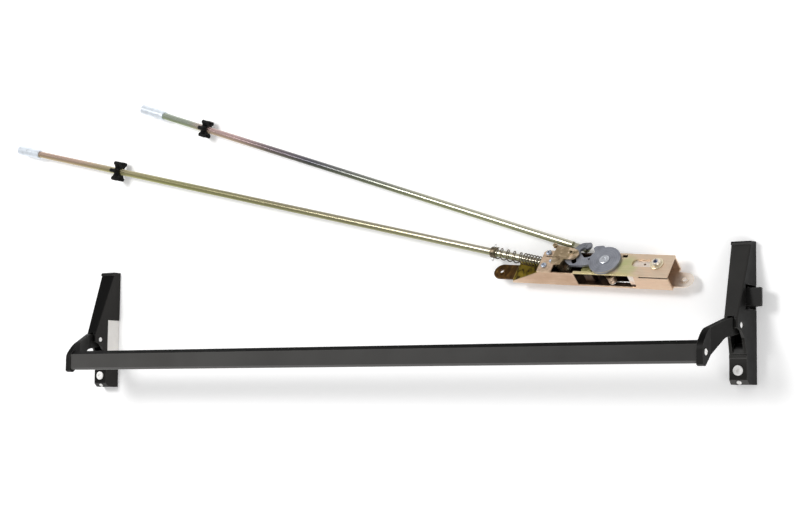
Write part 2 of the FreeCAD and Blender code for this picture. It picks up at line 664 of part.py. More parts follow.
def latch_slider():
    """The bent plate that the arm's tail pushes up; its wedge edge draws the bolt in."""
    body = new_body("latch_slider")
    reach = "(cave_wide / 2 - 0.4)"
    face = "(latch_pin_rad + pin_gap) * sqrt(1 + (latch_travel / slider_travel) ^ 2)"
    edge_x = "(latch_pin_x + " + face + ")"
    slope = "(latch_travel / slider_travel)"
    sketch = new_sketch(body, "XY_Plane", "latch_front + slider_gap")
    outline(sketch, [
        ("-" + reach, SLIDER_Y),
        (reach, SLIDER_Y),
        (reach, "latch_mid + (" + reach + " - " + edge_x + ") / " + slope),
        ("-" + reach, "latch_mid - (" + reach + " + " + edge_x + ") / " + slope),
    ])
    grow(body, sketch, "slider_thick")
    sketch = new_sketch(body, "XY_Plane", "plate_thick + plate_gap")
    outline(sketch, box_corners("-" + reach, reach, SLIDER_Y, SLIDER_Y + " + slider_thick"))
    grow(body, sketch, "latch_front + slider_gap - plate_thick - plate_gap")
    return done(seat(body, UNIT_X["right"], "shift_y"))


SLIDER_Y = "pivot_y + tail_out + plate_gap"


def latch_guide():
    """The U-shaped guide on the base plate that the latch bolt slides in."""
    body = new_body("latch_guide")
    sketch = new_sketch(body, "YZ_Plane", "-(cave_back / 2 - 0.4)")
    outline(sketch, [
        ("latch_mid - latch_half - guide_clear - guide_wall", "plate_thick"),
        ("latch_mid + latch_half + guide_clear + guide_wall", "plate_thick"),
        ("latch_mid + latch_half + guide_clear + guide_wall", "cave_step - 0.4"),
        ("latch_mid + latch_half + guide_clear", "cave_step - 0.4"),
        ("latch_mid + latch_half + guide_clear", "latch_lift - guide_clear"),
        ("latch_mid - latch_half - guide_clear", "latch_lift - guide_clear"),
        ("latch_mid - latch_half - guide_clear", "cave_step - 0.4"),
        ("latch_mid - latch_half - guide_clear - guide_wall", "cave_step - 0.4"),
    ])
    grow(body, sketch, "cave_back - 1")
    sketch = new_sketch(body, "YZ_Plane", "-(cave_back / 2 - 0.4)")
    outline(sketch, box_corners("latch_mid - latch_half - guide_clear - 1",
                                "latch_mid + latch_half + guide_clear + 1", "plate_thick", "cave_step - 0.4"))
    grow(body, sketch, "guide_back")
    sketch = new_sketch(body, "XY_Plane", "plate_thick")
    outline(sketch, box_corners("-(cave_wide / 2 - 0.4)", "cave_wide / 2 - 0.4",
                                "latch_mid - latch_half - guide_clear - guide_wall",
                                "latch_mid - latch_half - guide_clear"))
    grow(body, sketch, "latch_front + slider_gap - 0.3 - plate_thick")
    return done(seat(body, UNIT_X["right"], "shift_y"))


# The concealed mechanism lies on its back bottom edge, its top plate leaning away from the bar.
MECH_TURN = Turn(V(0, 0, 1), size("mech_yaw")).multiply(Turn(V(1, 0, 0), -size("mech_tilt")))
DISC_MID = MECH_TURN.multVec(V(0, 0, numbers(["case_high + top_thick + cam_gap + cam_thick / 2"])[0]))
LEAN = math.radians(size("mech_tilt"))
MECH = Place(V(size("shift_x") + size("mech_x") - DISC_MID.x,
               size("shift_y") + size("mech_y") - DISC_MID.y,
               math.sin(LEAN) * size("case_back")), MECH_TURN)
CAM_Z = "case_high + top_thick + cam_gap"
ROD_BORE = "rod_rad + 0.05"


def rod_frame(start, yaw, rise):
    """A place whose X axis runs along a rod from its near end, with Z straight up when level."""
    angle = math.radians(yaw)
    way = V(-math.cos(angle), math.sin(angle), rise)
    way.normalize()
    side_way = V(0, 0, 1).cross(way)
    side_way.normalize()
    up = way.cross(side_way)
    return Place(start, Turn(way, side_way, up, "XYZ"))


ROD_A = rod_frame(MECH.multVec(V(size("bracket_pos"), size("rod_y"), size("rod_z"))), size("rod_a_yaw"), 0)
HORN_AT = MECH.multVec(V(size("horn_x"), size("horn_y"), numbers([CAM_Z + " - horn_drop"])[0]))
ROD_B_RISE = (size("guide_b_rad") + 0.06 - HORN_AT.z) / (size("rod_b_len") - size("guide_b_in"))
ROD_B = rod_frame(HORN_AT, size("rod_b_yaw"), ROD_B_RISE)
# How high the level rod lies, which is the radius of the guide that carries its far end
ROD_A_HIGH = ROD_A.Base.z
# The way the lower rod moves when it lifts, in the mechanism's own frame
ROD_IN = MECH_TURN.inverted().multVec(ROD_A.Rotation.multVec(V(-1, 0, 0)))


def in_mech(body, at=("0", "0", "0"), turn=None):
    """Seats a piece that is drawn in the mechanism's own frame."""
    body.Placement = MECH.multiply(Place(V(*numbers(at)), turn or Turn()))
    return done(body)


def mechanism_case():
    """A folded channel with a sloped end, a window in its front flange and a screw ear at each end."""
    body = new_body("mechanism_case")
    sketch = new_sketch(body, "XY_Plane")
    outline(sketch, box_corners("case_left", "case_right", "case_front", "case_back"))
    grow(body, sketch, "sheet_thick")
    for ear, edge in (("ear_left", "case_left"), ("ear_right", "case_right")):
        sketch = new_sketch(body, "XY_Plane")
        outline(sketch, box_corners(ear, edge, "ear_mid - ear_rad", "ear_mid + ear_rad"))
        grow(body, sketch, "sheet_thick")
        boss(body, (ear, "ear_mid", "0"), "Z", "ear_rad", "sheet_thick")
        boss(body, (ear, "ear_mid", "0"), "Z", "ear_hole + ear_lip_wide", "sheet_thick + ear_lip")
        bore(body, (ear, "ear_mid", "-1"), "Z", "ear_hole", "sheet_thick + 4")
    left_part = [("case_left", "0"), ("window_left", "0"), ("window_left", "case_high"),
                 ("flange_start", "case_high"), ("case_left", "sheet_thick")]
    right_part = [("window_right - sheet_thick", "0"), ("case_right", "0"), ("case_right", "case_high"),
                  ("window_right", "case_high")]
    for part in (left_part, right_part):
        sketch = new_sketch(body, "XZ_Plane", "-case_front")
        outline(sketch, part)
        grow(body, sketch, "sheet_thick", back=True)
    sketch = new_sketch(body, "XZ_Plane", "-case_back")
    outline(sketch, box_corners("bracket_pos", "case_right", "0", "case_high"))
    grow(body, sketch, "sheet_thick")
    bore(body, ("0", "0", "-1"), "Z", "hub_hole + pin_gap", "sheet_thick + 2")
    return in_mech(body)


def top_plate():
    """The plate over the case: a narrow front strip, the cam's bearing hole and the adjusting slot."""
    body = new_body("top_plate")
    sketch = new_sketch(body, "XY_Plane", "case_high")
    outline(sketch, [
        ("window_left", "case_front"),
        ("case_right + 0.8", "case_front"),
        ("case_right + 0.8", "case_back"),
        ("top_start", "case_back"),
        ("top_start", "case_front + strip_wide"),
        ("window_left", "case_front + strip_wide"),
    ])
    grow(body, sketch, "top_thick")
    bore(body, ("0", "0", "case_high - 1"), "Z", "hub_hole + pin_gap", "top_thick + 2")
    sketch = new_sketch(body, "XY_Plane", "case_high - 1")
    outline(sketch, box_corners("slot_a", "slot_b", "slot_y - slot_rad", "slot_y + slot_rad"))
    cut(body, sketch, "top_thick + 2", back=True)
    for spot in ("slot_a", "slot_b"):
        bore(body, (spot, "slot_y", "case_high - 1"), "Z", "slot_rad", "top_thick + 2")
    sketch = new_sketch(body, "XY_Plane", "case_high - 1")
    outline(sketch, box_corners("sight_x - sight_long / 2", "sight_x + sight_long / 2",
                                "sight_y - sight_wide / 2", "sight_y + sight_wide / 2"))
    cut(body, sketch, "top_thick + 2", back=True)
    return in_mech(body)


# The cam's outline is drawn for a disc of this radius and grows with the disc
CAM_DRAWN = 24.0
CAM_ARM = [(-64, 6), (-64, -4), (-52, -12.5), (-41, -12.5), (-29, -11.6), (-14, -8), (0, -8), (0, 12),
           (-7, 22), (-8.5, 24.8), (-11.1, 26), (-21.8, 24.3), (-24.6, 20.6), (-18.8, 11.9), (-22.4, 9.8),
           (-23.9, 5.4), (-28.1, 3.3), (-33.5, 2.4), (-36.8, 5.8), (-42.4, 11.3), (-45.2, 16.3),
           (-41.6, 20), (-33.8, 19.1), (-30.7, 21.9), (-29.5, 25.8), (-31.3, 30.9), (-44.2, 29.5),
           (-49.6, 26.1), (-55, 17), (-62, 12)]
CAM_SOFT = {(-64, 6): 4, (-64, -4): 5, (-52, -12.5): 9, (-29, -11.6): 12, (-11.1, 26): 1.5,
            (-21.8, 24.3): 2.5, (-24.6, 20.6): 1.2, (-18.8, 11.9): 1.6, (-22.4, 9.8): 1.5, (-28.1, 3.3): 3,
            (-33.5, 2.4): 1.2, (-42.4, 11.3): 6, (-45.2, 16.3): 2.2, (-41.6, 20): 1.8, (-33.8, 19.1): 1.5,
            (-29.5, 25.8): 3, (-31.3, 30.9): 2, (-44.2, 29.5): 6, (-49.6, 26.1): 6, (-62, 12): 4}


def slot_spots():
    """Where the rod link's pin stands in the cam before and after the cam's turn."""
    start = V(size("link_x"), size("link_y"), 0)
    moved = start + ROD_IN * size("link_travel")
    return start, Turn(V(0, 0, 1), size("cam_angle")).multVec(V(moved.x, moved.y, 0))


def cam():
    """The hooked cam: a round plate on the hub with an arm, an open jaw and a horn for the upper rod."""
    body = new_body("cam")
    growth = size("cam_rad") / CAM_DRAWN
    sketch = new_sketch(body, "XY_Plane", CAM_Z)
    outline(sketch, [("%s * cam_rad / %s" % (x, CAM_DRAWN), "%s * cam_rad / %s" % (y, CAM_DRAWN))
                     for x, y in CAM_ARM])
    grow(body, sketch, "cam_thick")
    for (x, y), radius in CAM_SOFT.items():
        soften(body, "%s * cam_rad / %s" % (radius, CAM_DRAWN),
               lambda e: along(e, "Z") and near(e, x=x * growth, y=y * growth))
    boss(body, ("0", "0", CAM_Z), "Z", "cam_rad", "cam_thick")
    bore(body, ("0", "0", CAM_Z + " - 1"), "Z", "hub_hole + 0.02", "cam_thick + 2")
    bore(body, ("horn_x", "horn_y", CAM_Z + " - 1"), "Z", "horn_pin_rad + pin_gap", "cam_thick + 2")
    bore(body, ("peep_x", "peep_y", CAM_Z + " - 1"), "Z", "peep_rad", "cam_thick + 2")
    # Slot that the rod link's pin runs in while the cam turns
    start, end = slot_spots()
    aside = (end - start).normalize().cross(V(0, 0, 1)) * (size("link_pin_rad") + size("link_play"))
    sketch = new_sketch(body, "XY_Plane", CAM_Z + " - 1")
    outline(sketch, [(str(round(spot.x, 3)), str(round(spot.y, 3)))
                     for spot in (start + aside, end + aside, end - aside, start - aside)])
    cut(body, sketch, "cam_thick + 2", back=True)
    for spot in (start, end):
        bore(body, (str(round(spot.x, 3)), str(round(spot.y, 3)), CAM_Z + " - 1"), "Z",
             "link_pin_rad + link_play", "cam_thick + 2")
    return in_mech(body)


def cam_shaft():
    """The shaft that turns with the cam in the case floor and the top plate."""
    body = new_body("cam_shaft")
    turned(body, [
        ("0", "0.1"),
        ("hub_hole - 0.6", "0.1"),
        ("hub_hole", "0.7"),
        ("hub_hole", CAM_Z + " + cam_thick"),
        ("hub_head", CAM_Z + " + cam_thick"),
        ("hub_head", CAM_Z + " + cam_thick + 1"),
        ("hub_head - 1.2", CAM_Z + " + cam_thick + 1.6"),
        ("3.4", CAM_Z + " + cam_thick + 1.6"),
        ("2.6", CAM_Z + " + cam_thick + 0.9"),
        ("0", CAM_Z + " + cam_thick + 0.9"),
    ])
    return in_mech(body)


def cam_lever():
    """The lever on the shaft below the top plate, with a curled finger in the window."""
    body = new_body("cam_lever")
    sketch = new_sketch(body, "XY_Plane", "lever_low")
    outline(sketch, [("-hub_rad + 2", "-2"), ("finger_x - finger_rad + 0.5", "finger_y - 1"),
                     ("finger_x + finger_rad - 0.5", "finger_y - 1"), ("hub_rad", "-2")])
    grow(body, sketch, "lever_thick")
    boss(body, ("0", "0", "finger_low"), "Z", "hub_rad", "finger_high - finger_low")
    boss(body, ("finger_x", "finger_y", "finger_low"), "Z", "finger_rad", "finger_high - finger_low")
    boss(body, ("finger_x", "finger_y", "wire_z - wire_rad - 0.3"), "Z", "stub_rad", "4")
    bore(body, ("0", "0", "0"), "Z", "hub_hole + 0.02", "case_high")
    bore(body, ("finger_x", "finger_y", "finger_low + lever_thick + 1"), "Z", "finger_rad * 0.58",
         "finger_high")
    return in_mech(body)


def drive_link():
    """A round wire link from the lever's finger to the slide."""
    wire = doc.addObject("Part::Cylinder", "drive_wire")
    wire.setExpression("Radius", bound("wire_rad - 0.1"))
    wire.setExpression("Height", bound("slide_left + 1 - finger_x - wire_eye"))
    wire.Placement = Place(V(*numbers(("finger_x + wire_eye", "finger_y", "wire_z"))), AXES["X"])
    eye = doc.addObject("Part::Torus", "drive_eye")
    eye.setExpression("Radius1", bound("wire_eye"))
    eye.setExpression("Radius2", bound("wire_rad"))
    eye.Placement = Place(V(*numbers(("finger_x", "finger_y", "wire_z"))), Turn())
    link = doc.addObject("Part::MultiFuse", "drive_link")
    link.Shapes = [wire, eye]
    doc.recompute()
    return in_mech(link)


def slide_block():
    """The slide under the adjusting slot, with the block that shows in the window."""
    body = new_body("slide_block")
    sketch = new_sketch(body, "XY_Plane", "case_high - 0.3 - slide_thick")
    outline(sketch, box_corners("slide_left", "slide_left + slide_long", "case_front + sheet_thick + 4",
                                "case_back - sheet_thick - 3"))
    grow(body, sketch, "slide_thick")
    sketch = new_sketch(body, "XY_Plane", "sheet_thick + 0.7")
    outline(sketch, box_corners("slide_left", "slide_left + block_long", "case_front + sheet_thick + 0.8",
                                "finger_y + finger_rad"))
    grow(body, sketch, "case_high - 1 - sheet_thick")
    soften(body, "1", lambda e: along(e, "Z") and e.CenterOfMass.y < size("finger_y") - 1)
    bore(body, ("adjust_x", "slot_y", "case_high - 10"), "Z", "adjust_rad", "14")
    bore(body, ("adjust_x - 19", "slot_y", "case_high - 10"), "Z", "adjust_rad * 0.6", "14")
    bore(body, ("slide_left - 1", "finger_y", "wire_z"), "X", "wire_rad", "4")
    return in_mech(body)


def adjusting_screw():
    """The adjusting screw with a deep socket."""
    body = screw_part("adjusting_screw", "washer_rad * 0.68", "4.2", "adjust_rad - seat_gap", "12",
                      "adjust_rad + 0.1", "0.8")
    return in_mech(body, ("adjust_x", "slot_y", "case_high + top_thick + washer_thick + 0.2"))


def adjusting_washer():
    """The plain washer under the adjusting screw."""
    body = new_body("adjusting_washer")
    hole = "adjust_rad + 0.1"
    turned(body, [(hole, "0"), ("washer_rad", "0"), ("washer_rad", "washer_thick - 0.4"),
                  ("washer_rad - 0.6", "washer_thick"), (hole, "washer_thick")])
    return in_mech(body, ("adjust_x", "slot_y", "case_high + top_thick + 0.1"))


def stop_block():
    """The block on the case floor that the cam's arm comes to rest over."""
    body = new_body("stop_block")
    sketch = new_sketch(body, "XY_Plane", "sheet_thick")
    outline(sketch, box_corners("stop_left", "stop_right", "stop_front", "stop_back"))
    grow(body, sketch, "case_high - sheet_thick + 0.5")
    soften(body, "1.5", lambda e: along(e, "Z"))
    return in_mech(body)


def end_bracket():
    """The angle bracket across the case that the rod spring bears on."""
    body = new_body("end_bracket")
    sketch = new_sketch(body, "YZ_Plane", "bracket_pos")
    outline(sketch, box_corners("case_front + sheet_thick + 0.2", "case_back - sheet_thick - 0.2",
                                "sheet_thick", "case_high + 1"))
    grow(body, sketch, "bracket_thick")
    sketch = new_sketch(body, "XY_Plane", "case_high")
    outline(sketch, box_corners("bracket_pos", "bracket_end", "case_front", "case_back"))
    grow(body, sketch, "bracket_thick")
    soften(body, "2", lambda e: along(e, "Z") and e.CenterOfMass.x > size("bracket_end") - 1)
    soften(body, "3.5", lambda e: along(e, "Z") and near(e, x=size("bracket_pos"), y=size("case_back")),
           "PartDesign::Chamfer")
    bore(body, ("bracket_pos - 2", "rod_y", "rod_z"), "X", "rod_rad + 1.1", "bracket_thick + 6")
    sketch = new_sketch(body, "XY_Plane", "case_high - 1")
    outline(sketch, box_corners("bracket_pos + 6", "bracket_end + 2",
                                "bracket_slot_y - bracket_slot_wide / 2",
                                "bracket_slot_y + bracket_slot_wide / 2"))
    cut(body, sketch, "bracket_thick + 3", back=True)
    for spot in ("bracket_screw_a", "bracket_screw_b"):
        bore(body, ("bracket_screw_x", spot, "case_high - 1"), "Z", "2.1", "bracket_thick + 3")
    bore(body, ("rivet_x", "rivet_y", "case_high - 1"), "Z", "1.6", "bracket_thick + 3")
    return in_mech(body)


def bracket_screws():
    """Two screws in the bracket's top leaf."""
    bodies = []
    for index, spot in enumerate(("bracket_screw_a", "bracket_screw_b")):
        body = screw_part("bracket_screw_%d" % index, "4.4", "3", "2", "6", "1.6")
        at = V(*numbers(("bracket_screw_x", spot, "case_high + bracket_thick + 0.02")))
        body.Placement = MECH.multiply(Place(at, Turn()))
        bodies.append(body)
    return compound("bracket_screws", bodies)


def bracket_rivet():
    """The round-headed rivet on the bracket's leaf."""
    body = new_body("bracket_rivet")
    turned(body, [("0", "-4"), ("1.55", "-4"), ("1.55", "0"), ("rivet_rad", "0"), ("rivet_rad - 0.2", "1.3"),
                  ("rivet_rad - 1.2", "2.5"), ("rivet_rad * 0.25", "3"), ("0", "3")])
    return in_mech(body, ("rivet_x", "rivet_y", "case_high + bracket_thick + 0.02"))


def web_along():
    """How far along the slanted rod, from the bracket, it meets the link's web."""
    return (size("web_x") - size("bracket_pos")) / ROD_IN.x


def rod_link():
    """The folded link on the rod's end: a leaf over the cam arm and a web that the rod screws through."""
    body = new_body("rod_link")
    low = CAM_Z + " + cam_thick + link_lift"
    sketch = new_sketch(body, "XY_Plane", low)
    nose = [("link_x + 11.1", "link_y - 7.2"), ("link_x + 13.1", "link_y - 1.2"),
            ("link_x + 9.6", "link_y + 4.8")]
    outline(sketch, [("web_x - 7", "-3"), ("web_x - 6", "-12"), ("web_x - 1", "-14.5"), ("web_x + 9", "-14"),
                     ("web_x + 12", "-4"), ("link_x + 4.6", "link_y - 11.2")] + nose
            + [("link_x + 1.6", "link_y + 8.1"), ("web_x + 1", "19.5"), ("web_x - 7", "21")])
    grow(body, sketch, "link_thick")
    for x, y in [numbers(corner) for corner in nose]:
        soften(body, "5", lambda e: along(e, "Z") and near(e, x=x, y=y))
    # Web, its front gusset and the small knuckle at the back corner
    sketch = new_sketch(body, "YZ_Plane", "web_x")
    outline(sketch, box_corners("-10", "11.5", "rod_z - 8", low + " + 0.5"))
    grow(body, sketch, "link_thick")
    sketch = new_sketch(body, "XZ_Plane", "10")
    outline(sketch, box_corners("web_x", "web_x + 6", "rod_z + 2", low + " + 0.5"))
    grow(body, sketch, "link_thick", back=True)
    boss(body, ("knuckle_x", "knuckle_y", low), "Z", "knuckle_rad", "link_thick + 1.6")
    boss(body, ("link_x", "link_y", low), "Z", "link_pin_rad + 3.6", "link_thick + 0.4")
    bore(body, ("knuckle_x", "knuckle_y", low + " - 1"), "Z", "knuckle_rad * 0.42", "link_thick + 4")
    at = MECH.inverse().multVec(ROD_A.multVec(V(-web_along(), 0, 0)))
    bore(body, ("web_x - 3", str(round(at.y, 3)), str(round(at.z, 3))), "X", "thread_rad + 0.6", "8")
    bore(body, ("link_x", "link_y", CAM_Z), "Z", "link_pin_rad + seat_gap", "cam_thick + 8")
    return in_mech(body)


def link_pin():
    """The tubular pin that joins the link to the cam's slot."""
    body = new_body("link_pin")
    seat_at = "cam_thick + link_lift + link_thick + 1.25"
    turned(body, [
        ("0", "0"),
        ("link_pin_rad", "0"),
        ("link_pin_rad", seat_at),
        ("link_pin_rad + 2", seat_at),
        ("link_pin_rad + 2", seat_at + " + 0.8"),
        ("link_pin_rad + 1.3", seat_at + " + 1.3"),
        ("link_pin_rad * 0.75", seat_at + " + 1.3"),
        ("link_pin_rad * 0.75", "3"),
        ("0", "3"),
    ])
    return in_mech(body, ("link_x", "link_y", CAM_Z + " - 0.75"))


def horn_pin():
    """The pin that joins the upper rod's eye to the cam's horn."""
    body = screw_part("horn_pin", "horn_pin_rad + 1.2", "0.9", "horn_pin_rad", "cam_thick + horn_drop + 2.2",
                      "1.4", "0.7")
    return in_mech(body, ("horn_x", "horn_y", CAM_Z + " + cam_thick + 0.05"))


def hex_nut(name):
    """A plain hexagon nut along X."""
    body = new_body(name)
    sketch = new_sketch(body, "YZ_Plane")
    half = "nut_across / 2"
    corner = "nut_across / sqrt(3)"
    outline(sketch, [(corner, "0"), (corner + " / 2", half), ("-" + corner + " / 2", half),
                     ("-" + corner, "0"), ("-" + corner + " / 2", "-" + half), (corner + " / 2", "-" + half)])
    grow(body, sketch, "nut_thick")
    bore(body, ("-1", "0", "0"), "X", "thread_rad + seat_gap", "nut_thick + 2")
    return body


def link_nuts():
    """Two nuts that lock the rod in the link's web."""
    bodies = []
    near_side = web_along() - size("nut_clear")
    far_side = web_along() + size("link_thick") / ROD_IN.x + size("nut_clear") + size("nut_thick")
    for index, start in enumerate((near_side, far_side)):
        body = hex_nut("link_nut_%d" % index)
        body.Placement = ROD_A.multiply(Place(V(-start, 0, 0), Turn()))
        bodies.append(body)
    return compound("link_nuts", bodies)


def rod_bar(label, frame, start, end, radius):
    """A plain round rod along X with bevelled ends."""
    rod = doc.addObject("Part::Cylinder", label)
    rod.Label = label
    rod.setExpression("Radius", bound(radius))
    rod.setExpression("Height", bound("(" + end + ") - (" + start + ")"))
    rod.Placement = frame.multiply(Place(V(*numbers((start, "0", "0"))), AXES["X"]))
    return rod


def lower_rod():
    """The lower rod: full section to the bracket, then a thinner threaded end, with a cross hole."""
    body = new_body("lower_rod")
    turned(body, [
        ("0", "-rod_end"),
        ("thread_rad - 0.6", "-rod_end"),
        ("thread_rad", "-rod_end + 0.6"),
        ("thread_rad", "-thread_start"),
        ("rod_rad", "2 - thread_start"),
        ("rod_rad", "rod_a_len - 1"),
        ("rod_rad - 1", "rod_a_len"),
        ("0", "rod_a_len"),
    ])
    bore(body, ("0", "-15", COLLAR_AT + " + collar_len / 2"), "Y", "cross_pin_rad + seat_gap", "30")
    body.Placement = ROD_A.multiply(Place(V(0, 0, 0), Turn(V(0, 0, 1), V(1, 0, 0))))
    return done(body)


def round_sleeve(label, frame, start, profile):
    """A sleeve turned about a rod, from half its section as (radius, distance along the rod)."""
    body = new_body(label)
    turned(body, profile)
    body.Placement = frame.multiply(Place(V(*numbers((start, "0", "0"))), Turn(V(0, 0, 1), V(1, 0, 0))))
    return body


COLLAR_AT = "spring_len + 0.6"


def spring_collar():
    """The collar that holds the spring's far end, drilled for the cross pin."""
    body = round_sleeve("spring_collar", ROD_A, COLLAR_AT, [
        (ROD_BORE, "0"),
        ("collar_rad - 0.7", "0"),
        ("collar_rad", "0.7"),
        ("collar_rad", "collar_len - 0.7"),
        ("collar_rad - 0.7", "collar_len"),
        (ROD_BORE, "collar_len"),
    ])
    bore(body, ("0", "-15", "collar_len / 2"), "Y", "cross_pin_rad + seat_gap", "30")
    return done(body)


def rod_coupling(label, frame, rod_len):
    """A sleeve pinned on a rod's end, with a threaded bore for the next length of rod."""
    lap = "coupling_lap"
    return done(round_sleeve(label, frame, rod_len + " - " + lap, [
        (ROD_BORE, "0"),
        ("coupling_rad - 0.7", "0"),
        ("coupling_rad", "0.7"),
        ("coupling_rad", "coupling_len - 1.2"),
        ("coupling_rad - 1.2", "coupling_len"),
        ("thread_rad", "coupling_len"),
        ("thread_rad", lap + " + 0.3"),
        (ROD_BORE, lap + " + 0.3"),
    ]))


def cross_pin():
    """The pin through the collar and the rod."""
    body = new_body("cross_pin")
    turned(body, [
        ("0", "-cross_pin_half"),
        ("cross_pin_rad - 0.4", "-cross_pin_half"),
        ("cross_pin_rad", "-cross_pin_half + 0.4"),
        ("cross_pin_rad", "cross_pin_half - 0.4"),
        ("cross_pin_rad - 0.4", "cross_pin_half"),
        ("0", "cross_pin_half"),
    ])
    turn = Turn(V(0, 0, 1), V(1, 0, 0)).multiply(AXES["Y"])
    body.Placement = ROD_A.multiply(Place(V(*numbers((COLLAR_AT + " + collar_len / 2", "0", "0"))), turn))
    return done(body)


def rod_guide(label, frame, at, outer):
    """A star-shaped guide: a hub on the rod with six ribs that end in round lobes."""
    body = new_body(label)
    sketch = new_sketch(body, "XY_Plane")
    circle(sketch, "0", "0", "guide_hub")
    grow(body, sketch, "guide_len")
    sketch = new_sketch(body, "XY_Plane")
    outline(sketch, box_corners("-lobe_rib / 2", "lobe_rib / 2", "-(" + outer + " - lobe_rad)",
                                "-rod_rad - 1"))
    rib = grow(body, sketch, "guide_len")
    lobe = boss(body, ("0", "-(" + outer + " - lobe_rad)", "0"), "Z", "lobe_rad", "guide_len")
    ring = body.newObject("PartDesign::PolarPattern", label + "_lobes")
    ring.Originals = [rib, lobe]
    axis = [item for item in body.Origin.OriginFeatures if item.Role == "Z_Axis"][0]
    ring.Axis = (axis, [""])
    ring.Angle = 360
    ring.Occurrences = int(size("guide_lobes"))
    body.Tip = ring
    doc.recompute()
    bore(body, ("0", "0", "-1"), "Z", ROD_BORE, "guide_len + 2")
    upright = Turn(V(0, -1, 0), V(0, 0, 1), V(-1, 0, 0), "XYZ")
    body.Placement = frame.multiply(Place(V(*numbers((at + " + guide_len / 2", "0", "0"))), upright))
    return done(body)


def helix_point(radius, angle, along_x):
    return V(along_x, radius * math.cos(angle), radius * math.sin(angle))


def biarc(start, start_way, end, end_way):
    """Two tangent arcs from one point and direction to another."""
    chord = end - start
    both = start_way + end_way
    bend = 2 * (1 - start_way.dot(end_way))
    lead = chord.dot(both)
    reach = (-lead + math.sqrt(lead * lead + bend * chord.dot(chord))) / bend
    middle = (start + end + (start_way - end_way) * reach) * 0.5
    return [tangent_arc(start, start_way, middle), tangent_arc(end, end_way * -1, middle)]


def tangent_arc(start, way, end):
    """The arc that leaves a point in a direction and ends at another point."""
    chord = end - start
    half = chord.Length / 2
    unit = V(chord).normalize()
    side_way = way - unit * way.dot(unit)
    side_way.normalize()
    angle = math.acos(max(-1, min(1, way.dot(unit))))
    crown = (start + end) * 0.5 + side_way * (half * math.tan(angle / 2))
    return Part.Arc(start, crown, end)


def coil_path(label, radius, wire, spans, leads):
    """The middle line of a wire round X: spans are (turns, pitch) pairs, leads straight ends."""
    stops = [(0.0, 0.0)]
    rates = []
    for turns, pitch in spans:
        for _ in range(int(round(turns * 2))):
            angle, at = stops[-1]
            stops.append((angle + math.pi, at + pitch / 2))
            rates.append(pitch)
    ways = []
    # The wire leaves both ends square to the axis
    for index, (angle, at) in enumerate(stops):
        inside = 0 < index < len(rates)
        pitch = (rates[index - 1] + rates[index]) / 2 if inside else 0
        way = V(pitch / (2 * math.pi), -radius * math.sin(angle), radius * math.cos(angle))
        ways.append(way.normalize())
    spots = [helix_point(radius, angle, at) for angle, at in stops]
    edges = [Part.makeLine(spots[0] - ways[0] * leads[0], spots[0])]
    for index in range(len(spots) - 1):
        for arc in biarc(spots[index], ways[index], spots[index + 1], ways[index + 1]):
            edges.append(arc.toShape())
    edges.append(Part.makeLine(spots[-1], spots[-1] + ways[-1] * leads[1]))
    gap = min(stops[index + 2][1] - stops[index][1] for index in range(len(stops) - 2)) - wire
    print("%s least gap to itself %.2f mm" % (label, gap))
    return Part.Wire(Part.__sortEdges__(edges)), spots[0] - ways[0] * leads[0], ways[0]


def coil(label, frame, radius, wire, spans, leads):
    """A round wire swept along a coil's middle line as one tube."""
    path, start, way = coil_path(label, radius, wire, spans, leads)
    ring = Part.Wire(Part.Circle(start, way, wire / 2).toShape())
    item = doc.addObject("Part::Feature", label)
    item.Label = label
    item.Shape = path.makePipeShell([ring], True, False)
    item.Placement = frame
    return item


CLOSE_TURNS = 7
OPEN_TURNS = 4
BOLT_TURNS = 4


def rod_spring():
    """The return spring: close coils by the bracket, then open coils to the collar."""
    wire = size("spring_wire")
    end_pitch = wire + 0.6
    close_pitch = 3 * wire
    room = size("spring_len") - 1.2 * wire
    open_pitch = (room - CLOSE_TURNS * close_pitch - 1.5 * end_pitch) / OPEN_TURNS
    spans = [(1, end_pitch), (CLOSE_TURNS, close_pitch), (OPEN_TURNS, open_pitch), (0.5, end_pitch)]
    frame = ROD_A.multiply(Place(V(0.6 * wire, 0, 0), Turn()))
    return done(coil("rod_spring", frame, size("spring_rad"), wire, spans, (wire, wire)))


def bolt_spring():
    """The compression spring between the guide's back tab and the bolt's bore."""
    wire = size("bolt_spring_wire")
    start, end, up = numbers(["-(cave_back / 2 - 0.4) + guide_back + plate_gap",
                              "latch_bore_end - plate_gap", LATCH_Z])
    room = end - start - 1.3 * wire
    end_pitch = 1.75 * wire
    spans = [(0.5, end_pitch), (BOLT_TURNS, (room - end_pitch) / BOLT_TURNS), (0.5, end_pitch)]
    at = numbers([UNIT_X["right"], "shift_y + latch_mid"])
    frame = Place(V(at[0] + start + 0.65 * wire, at[1], up), Turn())
    return done(coil("bolt_spring", frame, size("bolt_spring_rad"), wire, spans, (wire, wire)))


def return_springs():
    """A torsion spring beside each arm's hub, one leg standing on the base plate."""
    springs = []
    leg = size("pivot_z") - size("plate_thick") - size("plate_gap")
    wire = size("return_wire")
    pitch = 1.6 * wire
    reach = 1.5 * pitch
    room = (size("cave_wide") - size("arm_thick")) / 2
    for side in ("right", "left"):
        at = numbers([UNIT_X[side], "shift_y + pivot_y", "pivot_z"])
        inner = -SIGN[side] * (size("arm_thick") / 2 + room / 2) - reach / 2
        springs.append(coil("return_spring_" + side, Place(V(at[0] + inner, at[1], at[2]), Turn()),
                            size("return_rad"), wire, [(1.5, pitch)], (leg, 9)))
    return compound("return_springs", springs)


def tongue_turn():
    """The turn whose X follows the upper rod and whose Z stays as near the cam's normal as it can."""
    way = ROD_B.Rotation.multVec(V(1, 0, 0))
    normal = MECH_TURN.multVec(V(0, 0, 1))
    side_way = normal.cross(way)
    side_way.normalize()
    return Turn(way, side_way, way.cross(side_way), "XYZ")


